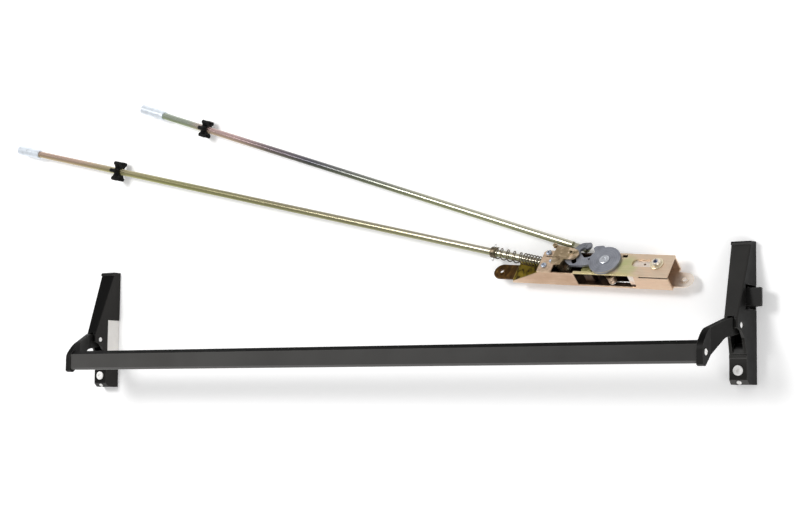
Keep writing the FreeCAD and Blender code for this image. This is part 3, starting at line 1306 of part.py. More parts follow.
def upper_rod():
    """The upper rod with a flattened eye end that hooks on the cam's horn."""
    eye = new_body("upper_rod_eye")
    boss(eye, ("0", "0", "-1.5"), "Z", "eye_rad", "1.5 + horn_drop - cam_gap")
    bore(eye, ("0", "0", "-5"), "Z", "horn_pin_rad + pin_gap", "12")
    eye.Placement = Place(HORN_AT, MECH_TURN)
    tongue = new_body("upper_rod_tongue")
    sketch = new_sketch(tongue, "XY_Plane")
    outline(sketch, box_corners("4.5", "32", "-4.2", "4.2"))
    grow(tongue, sketch, "3", middle=True)
    tongue.Placement = Place(HORN_AT, tongue_turn())
    rod = rod_bar("upper_rod_bar", ROD_B, "23", "rod_b_len", "rod_rad")
    whole = doc.addObject("Part::MultiFuse", "upper_rod")
    whole.Label = "upper_rod"
    whole.Shapes = [eye, tongue, rod]
    doc.recompute()
    return done(whole)


for unit_side in ("right", "left"):
    housing(unit_side)
    base_plate(unit_side)
    lever_arm(unit_side)
crossbar()
bar_end_plugs()
pivot_pins()
mounting_screws()
trim_screws()
bar_screws()
side_filler()
latch_bolt()
latch_pin()
latch_slider()
latch_guide()
bolt_spring()
return_springs()
mechanism_case()
top_plate()
cam()
cam_shaft()
cam_lever()
drive_link()
slide_block()
adjusting_screw()
adjusting_washer()
stop_block()
end_bracket()
bracket_screws()
bracket_rivet()
rod_link()
link_pin()
link_nuts()
horn_pin()
lower_rod()
rod_spring()
spring_collar()
cross_pin()
rod_guide("lower_rod_guide", ROD_A, "rod_a_len - guide_a_in", str(round(ROD_A_HIGH - 0.01, 3)))
rod_coupling("lower_rod_coupling", ROD_A, "rod_a_len")
upper_rod()
rod_guide("upper_rod_guide", ROD_B, "rod_b_len - guide_b_in", "guide_b_rad")
rod_coupling("upper_rod_coupling", ROD_B, "rod_b_len")

doc.recompute()
for item in doc.Objects:
    if "Invalid" in item.State or "Error" in item.State:
        raise ValueError(item.Label + " did not build")
for item in finished:
    if item.Shape.isNull() or not item.Shape.isValid():
        raise ValueError(item.Label + " has no valid shape")
os.makedirs("parts", exist_ok=True)
for item in finished:
    item.Shape.exportStep("parts/" + item.Label + ".step")
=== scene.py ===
import json
import math

import bmesh
import bpy
from mathutils import Matrix, Vector


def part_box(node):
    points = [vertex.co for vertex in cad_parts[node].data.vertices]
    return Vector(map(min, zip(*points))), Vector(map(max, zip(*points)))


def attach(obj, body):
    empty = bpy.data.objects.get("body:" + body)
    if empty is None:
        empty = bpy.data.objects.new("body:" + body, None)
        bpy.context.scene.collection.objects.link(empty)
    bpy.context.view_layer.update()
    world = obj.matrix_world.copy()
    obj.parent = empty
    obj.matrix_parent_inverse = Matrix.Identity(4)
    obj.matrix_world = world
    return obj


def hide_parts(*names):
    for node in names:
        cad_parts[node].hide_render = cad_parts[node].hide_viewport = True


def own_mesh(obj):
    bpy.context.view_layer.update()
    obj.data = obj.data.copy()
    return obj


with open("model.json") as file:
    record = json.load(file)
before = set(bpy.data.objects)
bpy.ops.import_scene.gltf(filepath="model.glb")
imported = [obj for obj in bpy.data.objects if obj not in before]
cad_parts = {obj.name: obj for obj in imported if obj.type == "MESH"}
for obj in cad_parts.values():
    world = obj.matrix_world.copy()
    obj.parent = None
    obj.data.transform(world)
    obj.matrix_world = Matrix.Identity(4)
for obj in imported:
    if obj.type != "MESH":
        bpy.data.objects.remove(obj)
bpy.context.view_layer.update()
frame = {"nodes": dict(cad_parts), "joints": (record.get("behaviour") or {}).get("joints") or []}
nodes = frame["nodes"]


def joint(name):
    """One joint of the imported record."""
    return [item for item in frame["joints"] if item["name"] == name][0]


# The photograph's camera, fitted to the crossbar unit, in the part's own frame and metres
FOCAL_PIXELS = 1785.5
PICTURE_WIDE = 800
SENSOR_WIDE = 36
FAR_CLIP = 50
CAMERA_AT = Vector((1.63297, -0.30422, 2.30843))
CAMERA_RIGHT = Vector((0.83458, 0.01162, -0.55077))
CAMERA_UP = Vector((0.04263, 0.99542, 0.08561))

# The studio: lamps as place, width and watts, the room's strength at the horizon and overhead, and the floor
KEY_LAMP = ((-1.2, 1.0, 3.0), 1.1, 62)
SIDE_LAMP = ((2.4, -1.2, 1.4), 1.2, 16)
ROOM_HORIZON = 0.95
ROOM_OVERHEAD = 0.30
FLOOR_REACH = 4.0
FLOOR_DROP = 0.0002
FLOOR_TONE = 0.8
FLOOR_GLOW = 0.16

# The concealed mechanism's own frame, from the cam's middle: X along its case, Z square to its top plate
MECH_TILT = math.radians(-35)
MECH_YAW = math.radians(-4.5)
MECH_TURN = Matrix.Rotation(MECH_YAW, 4, "Z") @ Matrix.Rotation(MECH_TILT, 4, "X")
CAM_MIDDLE = Vector(joint("cam_turn")["pos_m"])

# The rods' directions, where the lower one passes its bracket, and the lengths over which their tones drift
LOWER_ROD_YAW = math.radians(167.0)
UPPER_ROD_YAW = math.radians(161.85)
ROD_NEAR_END = CAM_MIDDLE + MECH_TURN.to_3x3() @ Vector((-0.104, 0.004, -0.0177))
LOWER_ROD_REACH = 1.05
UPPER_ROD_REACH = 0.91
# The thread ends in a short fade just inside the bracket. A wave texture's bands repeat every 2 pi / 20 at
# scale 1, so this scale gives their pitch.
THREAD_ENDS = (-0.0195, -0.0205)
THREAD_PITCH = 0.00125
THREAD_SCALE = math.pi / (10 * THREAD_PITCH)

# Lining of the latch bolt's cut-out: how far into the housing it starts and ends, its half width, its walls,
# its lower and upper edge, its play below the bolt and its softened edges
SILL_DEEP = 0.0048
SILL_IN = 0.0002
SILL_HALF = 0.01745
SILL_WALL = 0.0010
SILL_LOW = 0.0004
SILL_HIGH = 0.0290
SILL_CLEAR = 0.0004
SILL_SOFT = 0.0002

# A housing's mouth: half its width, where it starts and ends, and the length over which its painted shade
# deepens
MOUTH_HALF = 0.0083
MOUTH_LOW = 0.0420
MOUTH_HIGH = 0.0900
MOUTH_SHADE_FADE = 0.013
# The bar's coat darkens along X between minus and plus this, a painted falloff of the light
BAR_REACH = 0.6

# Spots of the mechanism's own frame, as a middle and a reach on each axis
# The horn spot darkens the cam round its horn and arm, as painted shade
HORN_SHADE_SPOT = ((-0.040, 0.022, 0), (0.022, 0.022, 0.02))
GILT_SPOT = ((0.012, -0.024, 0), (0.026, 0.012, 0.02))
RECESS_SPOT = ((0.0803, 0.0, 0.0), (0.0046, 0.0046, 0.02))
FRONT_SPOT = ((-0.080, -0.023, -0.020), (0.09, 0.02, 0.03))
FAR_EAR_SPOT = ((0.122, -0.005, -0.028), (0.03, 0.03, 0.03))
GREEN_SPOT = ((0.036, -0.006, 0), (0.022, 0.024, 0.02))
RIM_SPOT = ((0.0, -0.022, 0), (0.07, 0.006, 0.02))

# Widths along which edges look worn, and over which they look rounded. The coat's worn edges are also
# lighter as a painted edge sheen
COAT_WORN_AND_SHEEN, COAT_ROUND = 0.0012, 0.0009
STEEL_WORN, STEEL_ROUND = 0.0008, 0.0008
SHEET_WORN, SHEET_ROUND = 0.0005, 0.0004
CAM_WORN, CAM_ROUND = 0.0012, 0.0005
BRIGHT_WORN, BRIGHT_ROUND = 0.0004, 0.0003
PLASTIC_ROUND = 0.0005

PINK = (0.80, 0.58, 0.42)
PALE_PINK = (0.86, 0.67, 0.51)
TAN = (0.66, 0.49, 0.35)
BROWN = (0.42, 0.31, 0.22)
DARK_BROWN = (0.13, 0.08, 0.045)
OLIVE = (0.28, 0.20, 0.018)
YELLOW = (0.66, 0.58, 0.27)
GREEN = (0.52, 0.54, 0.26)
RED_BROWN = (0.54, 0.36, 0.24)
CREAM = (1.0, 0.93, 0.86)
GOLD_RIM = (0.72, 0.62, 0.34)
# Worn coat edges, lighter also as a painted edge sheen
WORN_AND_SHEEN_COAT = (0.10, 0.097, 0.092)
WORN_STEEL = (0.10, 0.097, 0.093)
# Painted shade: black for faces turned up the door, and a deeper black for a housing's mouth
PAINTED_SHADE_BLACK = (0.002, 0.002, 0.002)
MOUTH_SHADE_BLACK = (0.0006, 0.0006, 0.0006)
# Browns of painted shade, for the case's interior, the seam under the top plate and the stop block's foot
SHADE_BROWNS = [(0.35, (0.020, 0.012, 0.007)), (0.6, (0.06, 0.035, 0.02)), (0.75, (0.13, 0.08, 0.035))]
SMOKY = [(0.3, (0.040, 0.016, 0.003)), (0.55, (0.11, 0.052, 0.010)), (0.7, (0.25, 0.13, 0.030))]
GILT = [(0.36, (0.05, 0.03, 0.005)), (0.5, OLIVE), (0.7, (0.40, 0.30, 0.035))]

# The rods' drifting chromate, from the mechanism to their far ends
LOWER_TONES = [(0.0, (0.50, 0.47, 0.40)), (0.25, (0.40, 0.37, 0.27)), (0.48, (0.34, 0.31, 0.20)),
               (0.72, (0.40, 0.38, 0.20)), (0.84, (0.50, 0.44, 0.28)), (0.92, (0.60, 0.44, 0.36))]
UPPER_TONES = [(0.0, (0.55, 0.53, 0.43)), (0.36, (0.42, 0.42, 0.33)), (0.48, (0.24, 0.25, 0.22)),
               (0.62, (0.11, 0.11, 0.13)), (0.72, (0.22, 0.18, 0.20)), (0.80, (0.60, 0.43, 0.43)),
               (0.87, (0.64, 0.46, 0.45)), (0.92, (0.42, 0.47, 0.40))]

# Boxes of the mechanism's own frame, as a low corner, a high corner and the tones in them: painted shade
# inside the case, its bay below the spring, the seam under the top plate with painted shade, the ear near
# the rods, and painted shade at the stop block's foot
INSIDE_SHADE = ((-0.104, -0.0217, -0.0304), (0.058, 0.0180, -0.0030), SHADE_BROWNS)
SPRING_BAY = ((-0.156, -0.0217, -0.0304), (-0.104, 0.0180, 0.0100), GILT)
SEAM_AND_SHADE = ((0.0585, -0.0245, -0.0072), (0.1040, -0.0205, -0.0035), SHADE_BROWNS)
NEAR_EAR = ((-0.196, -0.030, -0.0340), (-0.156, 0.030, -0.0100), SMOKY)
BLOCK_FOOT_SHADE = ((-0.05, -0.03, -0.032), (0.0, 0.03, -0.0075), SHADE_BROWNS)


class Finish:
    """A node-based material that is built one node at a time."""

    def __init__(self, name, **surface):
        self.material = bpy.data.materials.new(name)
        self.material.use_nodes = True
        self.tree = self.material.node_tree
        self.tree.nodes.clear()
        output = self.tree.nodes.new("ShaderNodeOutputMaterial")
        self.surface = self.tree.nodes.new("ShaderNodeBsdfPrincipled")
        self.tree.links.new(self.surface.outputs[0], output.inputs[0])
        for socket, value in surface.items():
            self.set(self.surface, socket.replace("_", " "), value)
        place = self.tree.nodes.new("ShaderNodeTexCoord")
        self.place = place.outputs["Object"]

    def set(self, node, socket, value):
        """Puts a plain value or another node's output on a socket."""
        if isinstance(value, bpy.types.NodeSocket):
            self.tree.links.new(value, node.inputs[socket])
        else:
            node.inputs[socket].default_value = value

    def paint(self, colour, rough):
        """Puts the colour and the roughness on the surface."""
        self.set(self.surface, "Base Color", colour)
        self.set(self.surface, "Roughness", rough)

    def node(self, kind, output=0, options=None, **sockets):
        """A new node's output, with options such as blend modes and its input values."""
        item = self.tree.nodes.new(kind)
        for name, value in (options or {}).items():
            setattr(item, name, value)
        for name, value in sockets.items():
            self.set(item, name.replace("_", " "), value)
        return item.outputs[output]

    def maths(self, operation, *values, kind="ShaderNodeMath", output=0):
        """The output of a math node on numbers or other outputs."""
        item = self.node(kind, output=output, options={"operation": operation})
        for at, value in enumerate(values):
            self.set(item.node, at, value)
        return item

    def vector_maths(self, operation, *values, output=0):
        """The output of a vector math node on points or other outputs."""
        return self.maths(operation, *values, kind="ShaderNodeVectorMath", output=output)

    def times(self, first, second):
        """The product of two numbers or outputs."""
        return self.maths("MULTIPLY", first, second)

    def span(self, value, start, end, low=0.0, high=1.0, smooth=False):
        """A number that runs from low to high while a value runs from start to end."""
        options = {"interpolation_type": "SMOOTHSTEP"} if smooth else None
        return self.node("ShaderNodeMapRange", options=options, Value=value, From_Min=start, From_Max=end,
                         To_Min=low, To_Max=high)

    def between(self, factor, low, high):
        """A number that runs from low to high with the middle of a noise's range."""
        return self.span(factor, 0.3, 0.7, low, high)

    def component(self, vector, axis):
        """A vector's X, Y or Z, by its number from 0."""
        return self.node("ShaderNodeSeparateXYZ", output=axis, Vector=vector)

    def normal(self):
        """The surface's normal."""
        return self.node("ShaderNodeNewGeometry", output=1)

    def turned_place(self, turn, middle=Vector(), stretch=(1, 1, 1)):
        """The surface point in a turned frame about a middle, with each axis then scaled."""
        return self.node("ShaderNodeMapping", options={"vector_type": "TEXTURE"}, Vector=self.place,
                         Location=middle, Rotation=turn.to_euler(), Scale=[1 / part for part in stretch])

    def mech_place(self, stretch=(1, 1, 1)):
        """The surface point in the mechanism's own frame, with each axis then scaled."""
        return self.turned_place(MECH_TURN, CAM_MIDDLE, stretch)

    def noise(self, scale, detail=3.0, rough=0.55, place=None, distort=0.0):
        """A cloudy 0 to 1 pattern."""
        return self.node("ShaderNodeTexNoise", Vector=place or self.place, Scale=scale, Detail=detail,
                         Roughness=rough, Distortion=distort)

    def ramp(self, factor, stops, smooth=True):
        """A colour ramp through (place, colour) stops."""
        item = self.tree.nodes.new("ShaderNodeValToRGB")
        band = item.color_ramp
        band.interpolation = "EASE" if smooth else "LINEAR"
        while len(band.elements) < len(stops):
            band.elements.new(0.5)
        for element, (at, colour) in zip(band.elements, stops):
            element.position = at
            element.color = (*colour, 1)
        self.set(item, "Fac", factor)
        return item.outputs[0]

    def mix(self, factor, first, second, blend="MIX"):
        """One colour laid over another."""
        item = self.tree.nodes.new("ShaderNodeMix")
        item.data_type = "RGBA"
        item.blend_type = blend
        self.set(item, 0, factor)
        for socket, value in ((6, first), (7, second)):
            self.set(item, socket, value if isinstance(value, bpy.types.NodeSocket) else (*value, 1))
        return item.outputs[2]

    def spot(self, centre, reach):
        """A soft 0 to 1 mask round a point of the mechanism's own frame, with a reach on each axis."""
        place = self.mech_place(tuple(1 / part for part in reach))
        shift = tuple(-part / size for part, size in zip(centre, reach))
        far = self.vector_maths("LENGTH", self.vector_maths("ADD", place, shift), output=1)
        return self.span(far, 0.4, 1.0, 1.0, 0.0, smooth=True)

    def block(self, turn, middle, low, high):
        """A 0 to 1 mask that fills a box of a turned frame, from its low to its high corner."""
        half = [(b - a) / 2 for a, b in zip(low, high)]
        place = self.turned_place(turn, middle, tuple(1 / part for part in half))
        shift = tuple(-(a + b) / 2 / size for a, b, size in zip(low, high, half))
        size = self.vector_maths("ABSOLUTE", self.vector_maths("ADD", place, shift))
        most, *rest = self.component(size, 0).node.outputs
        for part in rest:
            most = self.maths("MAXIMUM", most, part)
        return self.span(most, 0.98, 1.02, 1.0, 0.0)

    def edges(self, radius):
        """A 0 to 1 mask along the edges, where a softened normal leaves the surface's own."""
        soft = self.node("ShaderNodeBevel", Radius=radius)
        match = self.vector_maths("DOT_PRODUCT", soft, self.normal(), output=1)
        return self.span(match, 0.995, 0.93)

    def bump(self, *layers, bevel=None):
        """Bump layers as (height, strength, distance), each on the one before, over softened edges."""
        normal = self.node("ShaderNodeBevel", Radius=bevel) if bevel else None
        for height, strength, distance in layers:
            item = self.tree.nodes.new("ShaderNodeBump")
            self.set(item, "Height", height)
            item.inputs["Strength"].default_value = strength
            item.inputs["Distance"].default_value = distance
            if normal:
                self.set(item, "Normal", normal)
            normal = item.outputs[0]
        self.set(self.surface, "Normal", normal)


def mouth_of(node):
    """The box of a housing's mouth, by its low and high corners."""
    low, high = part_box(node)
    middle = (low[0] + high[0]) / 2
    return ((middle - MOUTH_HALF, low[1] + MOUTH_LOW, 0.0),
            (middle + MOUTH_HALF, low[1] + MOUTH_HIGH, high[2]))


def black_coat(name, low, high, gloss, painted_sheen=(0.05, 0.049, 0.047), painted_side_tone=None, fade=None, mouth=None,
               shaded_span=(0.3, 0.65)):
    """Satin black powder coat with faint orange peel and rubbed edges, also lighter as a painted edge sheen.

    Faces turned up the door get painted shade, darker and less glossy, from one share of +Y in their normal
    to another, and faces turned down it get a lighter painted sheen. The cheeks turned to +X may get a
    painted tone of their own for how the light falls on them, the coat may fade along X between two tones as
    a painted falloff of the light, and the mouth of a housing, a box given by two corners, darkens along Y
    with painted shade.
    """
    look = Finish(name)
    base = look.ramp(look.noise(9.0), [(0.3, low), (0.7, high)])
    # Painted falloff of the light: the coat darkens along X
    if fade:
        along = look.span(look.component(look.place, 0), -BAR_REACH, BAR_REACH)
        tone = look.ramp(along, [(0.0, fade[0]), (1.0, fade[1])], smooth=False)
        base = look.mix(1.0, base, tone, "MULTIPLY")
    normal = look.normal()
    upward = look.component(normal, 1)
    # A painted tone for the cheeks turned to +X, for how the light falls on them
    if painted_side_tone:
        base = look.mix(look.span(look.component(normal, 0), 0.5, 0.9, 0.0, 0.9), base, painted_side_tone)
    # Painted shade deepening into the housing's mouth
    if mouth:
        start = mouth[0][1]
        shade_depth = look.span(look.component(look.place, 1), start, start + MOUTH_SHADE_FADE)
        base = look.mix(look.times(look.block(Matrix(), Vector(), *mouth), shade_depth), base, MOUTH_SHADE_BLACK)
    # Painted shade: faces turned up the door are darker and less glossy
    base = look.mix(look.span(upward, *shaded_span, 0.0, 0.97), base, PAINTED_SHADE_BLACK)
    look.set(look.surface, "Specular IOR Level", look.span(upward, *shaded_span, gloss, 0.03))
    # Painted sheen: faces turned down the door are lighter
    base = look.mix(look.span(upward, -0.25, -0.6, 0.0, 0.8), base, painted_sheen)
    # Rubbed edges, lighter both as wear and as a painted edge sheen
    rubbed = look.times(look.edges(COAT_WORN_AND_SHEEN), look.between(look.noise(45.0, detail=5.0), 0.3, 1.0))
    base = look.mix(look.times(rubbed, 0.8), base, WORN_AND_SHEEN_COAT)
    look.paint(base, look.between(look.noise(60.0), 0.38, 0.50))
    look.bump((look.noise(900.0, detail=2.0), 0.12, 0.00025),
              (look.noise(3200.0, detail=1.0), 0.06, 0.0001), bevel=COAT_ROUND)
    return look.material


def black_steel():
    """The bolt's blackened steel, brushed along its stroke."""
    look = Finish("black_steel", Specular_IOR_Level=0.15)
    brushed = look.noise(40.0, place=look.turned_place(Matrix(), stretch=(4, 60, 4)))
    base = look.ramp(brushed, [(0.3, (0.008, 0.0078, 0.0075)), (0.7, (0.015, 0.0145, 0.014))])
    worn = look.times(look.edges(STEEL_WORN), look.between(look.noise(70.0, detail=5.0), 0.1, 0.9))
    look.paint(look.mix(worn, base, WORN_STEEL), look.between(brushed, 0.36, 0.5))
    look.bump((brushed, 0.1, 0.0002), bevel=STEEL_ROUND)
    return look.material


def plated(name, stops, patch=22.0, zones=(), boxes=()):
    """Chromated zinc: colour that drifts in patches, with rolling lines, stains, painted shade in boxes and
    bright worn rims.

    Zones are soft spots and boxes are sharp ones, both with tones of their own; some boxes hold painted
    shade.
    """
    look = Finish(name, Metallic=0.8)
    place = look.mech_place((1.0, 1.6, 1.6))
    colour = look.ramp(look.noise(patch, detail=4.0, rough=0.6, place=place, distort=1.2), stops)
    breakup = look.between(look.noise(patch * 2.2, detail=4.0, place=place), 0.55, 1.0)
    for spot, tint in zones:
        colour = look.mix(look.times(look.spot(*spot), breakup), colour, tint)
    lines = look.noise(260.0, detail=2.0, place=look.mech_place((0.12, 4.0, 4.0)))
    spots = look.noise(420.0, detail=3.0, place=place)
    colour = look.mix(look.between(lines, 0.0, 0.28), colour, (0.62, 0.54, 0.43), "MULTIPLY")
    colour = look.mix(look.times(look.edges(SHEET_WORN), 0.6), colour, GOLD_RIM)
    # Boxes lay mottled tones: stains in some, painted shade in others
    for low, high, tints in boxes:
        stain_and_shade = look.noise(55.0, place=look.mech_place((1.6, 1, 1)), detail=4.0, distort=1.5)
        colour = look.mix(look.block(MECH_TURN, CAM_MIDDLE, low, high), colour, look.ramp(stain_and_shade, tints))
    look.paint(colour, look.between(spots, 0.30, 0.46))
    look.bump((lines, 0.06, 0.0002), (spots, 0.06, 0.00015), bevel=SHEET_ROUND)
    return look.material


def turned_grey():
    """The cam's bluish grey zinc with faint rings about its shaft and a gilded rim."""
    look = Finish("cam_steel", Metallic=0.8)
    place = look.mech_place()
    rings = look.node("ShaderNodeTexWave", output=1, options={"wave_type": "RINGS", "rings_direction": "Z"},
                      Vector=place, Scale=95.0, Distortion=0.6, Detail=2.0)
    cloud = look.noise(70.0, place=place, detail=4.0)
    colour = look.ramp(cloud, [(0.25, (0.19, 0.195, 0.22)), (0.55, (0.27, 0.28, 0.315)),
                               (0.8, (0.37, 0.38, 0.41))])
    colour = look.mix(look.between(rings, 0.0, 0.3), colour, (0.66, 0.68, 0.72), "MULTIPLY")
    # Painted shade: darker round the horn and the cam's arm
    colour = look.mix(look.times(look.spot(*HORN_SHADE_SPOT), 0.35), colour, (0.10, 0.10, 0.105))
    gilt = look.mix(look.times(look.edges(CAM_WORN), 0.8), colour, (0.62, 0.50, 0.20))
    colour = look.mix(look.spot(*GILT_SPOT), colour, gilt)
    look.paint(colour, look.between(cloud, 0.40, 0.56))
    look.bump((rings, 0.2, 0.00012), (look.noise(600.0, place=place), 0.1, 0.0001), bevel=CAM_ROUND)
    return look.material


def rod_zinc(name, yaw, start, length, tones, threaded=False):
    """A rod's chromate in long streaks: its tones drift from the near end, which may have a screw thread."""
    look = Finish("%s_zinc" % name, Metallic=0.85)
    turn = Matrix.Rotation(yaw, 4, "Z")
    streaks = look.noise(30.0, place=look.turned_place(turn, stretch=(0.15, 9, 9)), detail=4.0)
    grain = look.ramp(streaks, [(0.25, (0.72, 0.71, 0.66)), (0.5, (0.86, 0.85, 0.82)), (0.8, (1, 1, 1))])
    place = look.turned_place(turn, start)
    along = look.component(place, 0)
    colour = look.mix(1.0, look.ramp(look.span(along, 0.0, length), tones, smooth=False), grain, "MULTIPLY")
    # Painted shade: the side turned down the door is darker and greener
    lower = look.mix(1.0, colour, (0.86, 0.94, 0.62), "MULTIPLY")
    painted_shade_side = look.span(look.component(look.normal(), 1), 0.0, -0.5, 0.0, 0.8)
    look.paint(look.mix(painted_shade_side, colour, lower), look.between(streaks, 0.20, 0.30))
    layers = [(streaks, 0.06, 0.0002)]
    if threaded:
        thread = look.node("ShaderNodeTexWave", output=1, Vector=place, Scale=THREAD_SCALE, Distortion=0.0,
                           options={"wave_type": "BANDS", "bands_direction": "X"})
        layers.append((look.times(thread, look.span(along, *THREAD_ENDS)), 0.9, 0.0006))
    look.bump(*layers)
    return look.material


def bright(name, colour, rough, metal=1.0):
    """Clean plated or turned metal with faint handling marks."""
    look = Finish(name, Metallic=metal)
    dark = tuple(part * 0.84 for part in colour)
    pale = tuple(min(1.0, part * 1.2) for part in colour)
    base = look.ramp(look.noise(80.0, detail=4.0), [(0.3, dark), (0.65, colour)])
    look.paint(look.mix(look.times(look.edges(BRIGHT_WORN), 0.3), base, pale),
               look.between(look.noise(300.0), rough * 0.8, rough * 1.25))
    look.bump((look.noise(700.0), 0.05, 0.0001), bevel=BRIGHT_ROUND)
    return look.material


def screw_zinc():
    """The adjusting screw's pale head with its blued recess."""
    look = Finish("screw_zinc", Metallic=0.8)
    cloud = look.noise(200.0, detail=4.0)
    colour = look.ramp(cloud, [(0.3, (0.62, 0.54, 0.42)), (0.6, (0.84, 0.76, 0.64))])
    look.paint(look.mix(look.spot(*RECESS_SPOT), colour, (0.10, 0.16, 0.34)), look.between(cloud, 0.25, 0.4))
    look.bump((look.noise(700.0), 0.05, 0.0001), bevel=BRIGHT_ROUND)
    return look.material


def plastic(name, colour, rough, gloss):
    """Moulded plastic with a fine spark-eroded skin."""
    look = Finish(name, Specular_IOR_Level=gloss)
    dull = tuple(part * 0.88 for part in colour)
    look.paint(look.ramp(look.noise(25.0), [(0.3, dull), (0.7, colour)]),
               look.between(look.noise(90.0), rough - 0.06, rough + 0.06))
    look.bump((look.noise(1500.0, detail=1.0), 0.15, 0.0001), bevel=PLASTIC_ROUND)
    return look.material


CASE = plated("case_zinc", [(0.25, TAN), (0.45, PINK), (0.7, PALE_PINK)],
              zones=[(FRONT_SPOT, RED_BROWN), (FAR_EAR_SPOT, CREAM)],
              boxes=[INSIDE_SHADE, SPRING_BAY, SEAM_AND_SHADE, NEAR_EAR])
PLATE = plated("plate_zinc", [(0.25, TAN), (0.45, (0.72, 0.57, 0.43)), (0.75, PINK)],
               zones=[(GREEN_SPOT, GREEN), (RIM_SPOT, YELLOW)])
LEVER = plated("lever_zinc", [(0.3, DARK_BROWN), (0.5, BROWN), (0.62, PALE_PINK)], patch=90.0)
BRACKET = plated("bracket_zinc", [(0.3, BROWN), (0.55, TAN), (0.75, PINK)], patch=60.0)
LINK = plated("link_zinc", [(0.3, (0.15, 0.10, 0.055)), (0.5, (0.33, 0.25, 0.15)), (0.74, PALE_PINK)],
              patch=55.0)
SPRING = plated("spring_zinc", [(0.35, (0.05, 0.04, 0.024)), (0.54, (0.13, 0.105, 0.07)), (0.74, TAN)],
                patch=120.0)
BLOCK = plated("block_zinc", [(0.3, (0.30, 0.28, 0.10)), (0.6, (0.44, 0.42, 0.18))], patch=60.0,
               boxes=[BLOCK_FOOT_SHADE])
SLIDE = plated("slide_zinc", [(0.3, PINK), (0.5, (0.86, 0.76, 0.68)), (0.7, (0.92, 0.86, 0.80))], patch=50.0)
CAM = turned_grey()
SCREW = screw_zinc()
LOWER_ROD = rod_zinc("lower_rod", LOWER_ROD_YAW, ROD_NEAR_END, LOWER_ROD_REACH, LOWER_TONES, threaded=True)
UPPER_ROD = rod_zinc("upper_rod", UPPER_ROD_YAW, CAM_MIDDLE, UPPER_ROD_REACH, UPPER_TONES)
# The right housing's coat, its cheeks darker as painted shade
COAT = black_coat("black_coat", (0.015, 0.0144, 0.0132), (0.024, 0.023, 0.021), 0.20,
                  painted_sheen=(0.075, 0.073, 0.070), painted_side_tone=(0.003, 0.0028, 0.0025), mouth=mouth_of("right_housing"))
# Painted shade: a darker copy of the coat for the left housing, its cheeks lighter as painted light
SHADED_LEFT_COAT = black_coat("black_coat_left_shaded", (0.006, 0.0056, 0.0052), (0.011, 0.0105, 0.0098), 0.12,
                       painted_side_tone=(0.026, 0.0245, 0.023), mouth=mouth_of("left_housing"), shaded_span=(0.10, 0.38))
# Painted shade: a darker copy of the coat for the lever arms
SHADED_ARM_COAT = black_coat("black_coat_arm_shaded", (0.006, 0.0056, 0.0052), (0.011, 0.0105, 0.0098), 0.12)
# Painted light: a lighter copy of the coat for the crossbar, darkening along X as a painted falloff
LIT_BAR_COAT = black_coat("black_coat_bar_lit", (0.066, 0.064, 0.061), (0.078, 0.076, 0.073), 0.16,
                      painted_sheen=(0.125, 0.123, 0.12), fade=((1.0, 1.0, 1.0), (0.45, 0.45, 0.45)))
BOLT = black_steel()
WHITE_STEEL = bright("white_steel", (1.0, 0.99, 0.97), 0.5, metal=0.08)
SILVER = bright("bright_steel", (0.84, 0.84, 0.83), 0.28)
ZINC = bright("pale_zinc", (0.82, 0.88, 0.95), 0.34, metal=0.6)
BLUE_ZINC = bright("blue_zinc", (0.50, 0.55, 0.64), 0.34)
SHAFT = bright("shaft_steel", (0.56, 0.58, 0.62), 0.36)
SPRING_STEEL = bright("spring_steel", (0.50, 0.50, 0.52), 0.30)
ALUMINIUM = bright("raw_aluminium", (0.76, 0.76, 0.77), 0.42)
BRASS = bright("brass_washer", (0.82, 0.72, 0.52), 0.32, metal=0.7)
GUIDE = plastic("black_plastic", (0.004, 0.004, 0.004), 0.5, gloss=0.12)
FILLER = plastic("pale_filler", (1.0, 0.97, 0.93), 0.6, gloss=0.4)

DRESS = {
    "right_housing": COAT, "left_housing": SHADED_LEFT_COAT, "right_lever_arm": SHADED_ARM_COAT,
    "left_lever_arm": SHADED_ARM_COAT, "crossbar": LIT_BAR_COAT, "side_filler": FILLER,
    "latch_bolt": BOLT, "latch_guide": BOLT, "right_base_plate": BOLT, "left_base_plate": BOLT,
    "pivot_pins": WHITE_STEEL, "mounting_screws": WHITE_STEEL, "trim_screws": WHITE_STEEL,
    "bar_screws": WHITE_STEEL, "latch_pin": SILVER, "latch_slider": ZINC, "bar_end_plugs": ALUMINIUM,
    "return_springs": SPRING_STEEL, "bolt_spring": SPRING_STEEL,
    "mechanism_case": CASE, "top_plate": PLATE, "end_bracket": BRACKET, "bracket_screws": BLUE_ZINC,
    "bracket_rivet": BLUE_ZINC, "stop_block": BLOCK, "rod_spring": SPRING, "spring_collar": SPRING,
    "cam": CAM, "horn_pin": CAM, "cam_shaft": SHAFT, "cam_lever": LEVER, "rod_link": LINK, "link_pin": LINK,
    "link_nuts": BRACKET, "cross_pin": SILVER, "drive_link": SILVER, "slide_block": SLIDE,
    "adjusting_screw": SCREW, "adjusting_washer": BRASS, "lower_rod": LOWER_ROD, "upper_rod": UPPER_ROD,
    "lower_rod_guide": GUIDE, "upper_rod_guide": GUIDE, "lower_rod_coupling": ZINC,
    "upper_rod_coupling": ZINC,
}


def dress(node, material):
    """Gives one CAD node its finished material."""
    mesh = nodes[node].data
    mesh.materials.clear()
    mesh.materials.append(material)


def placed(item):
    """Puts a new object in the scene."""
    bpy.context.scene.collection.objects.link(item)
    return item


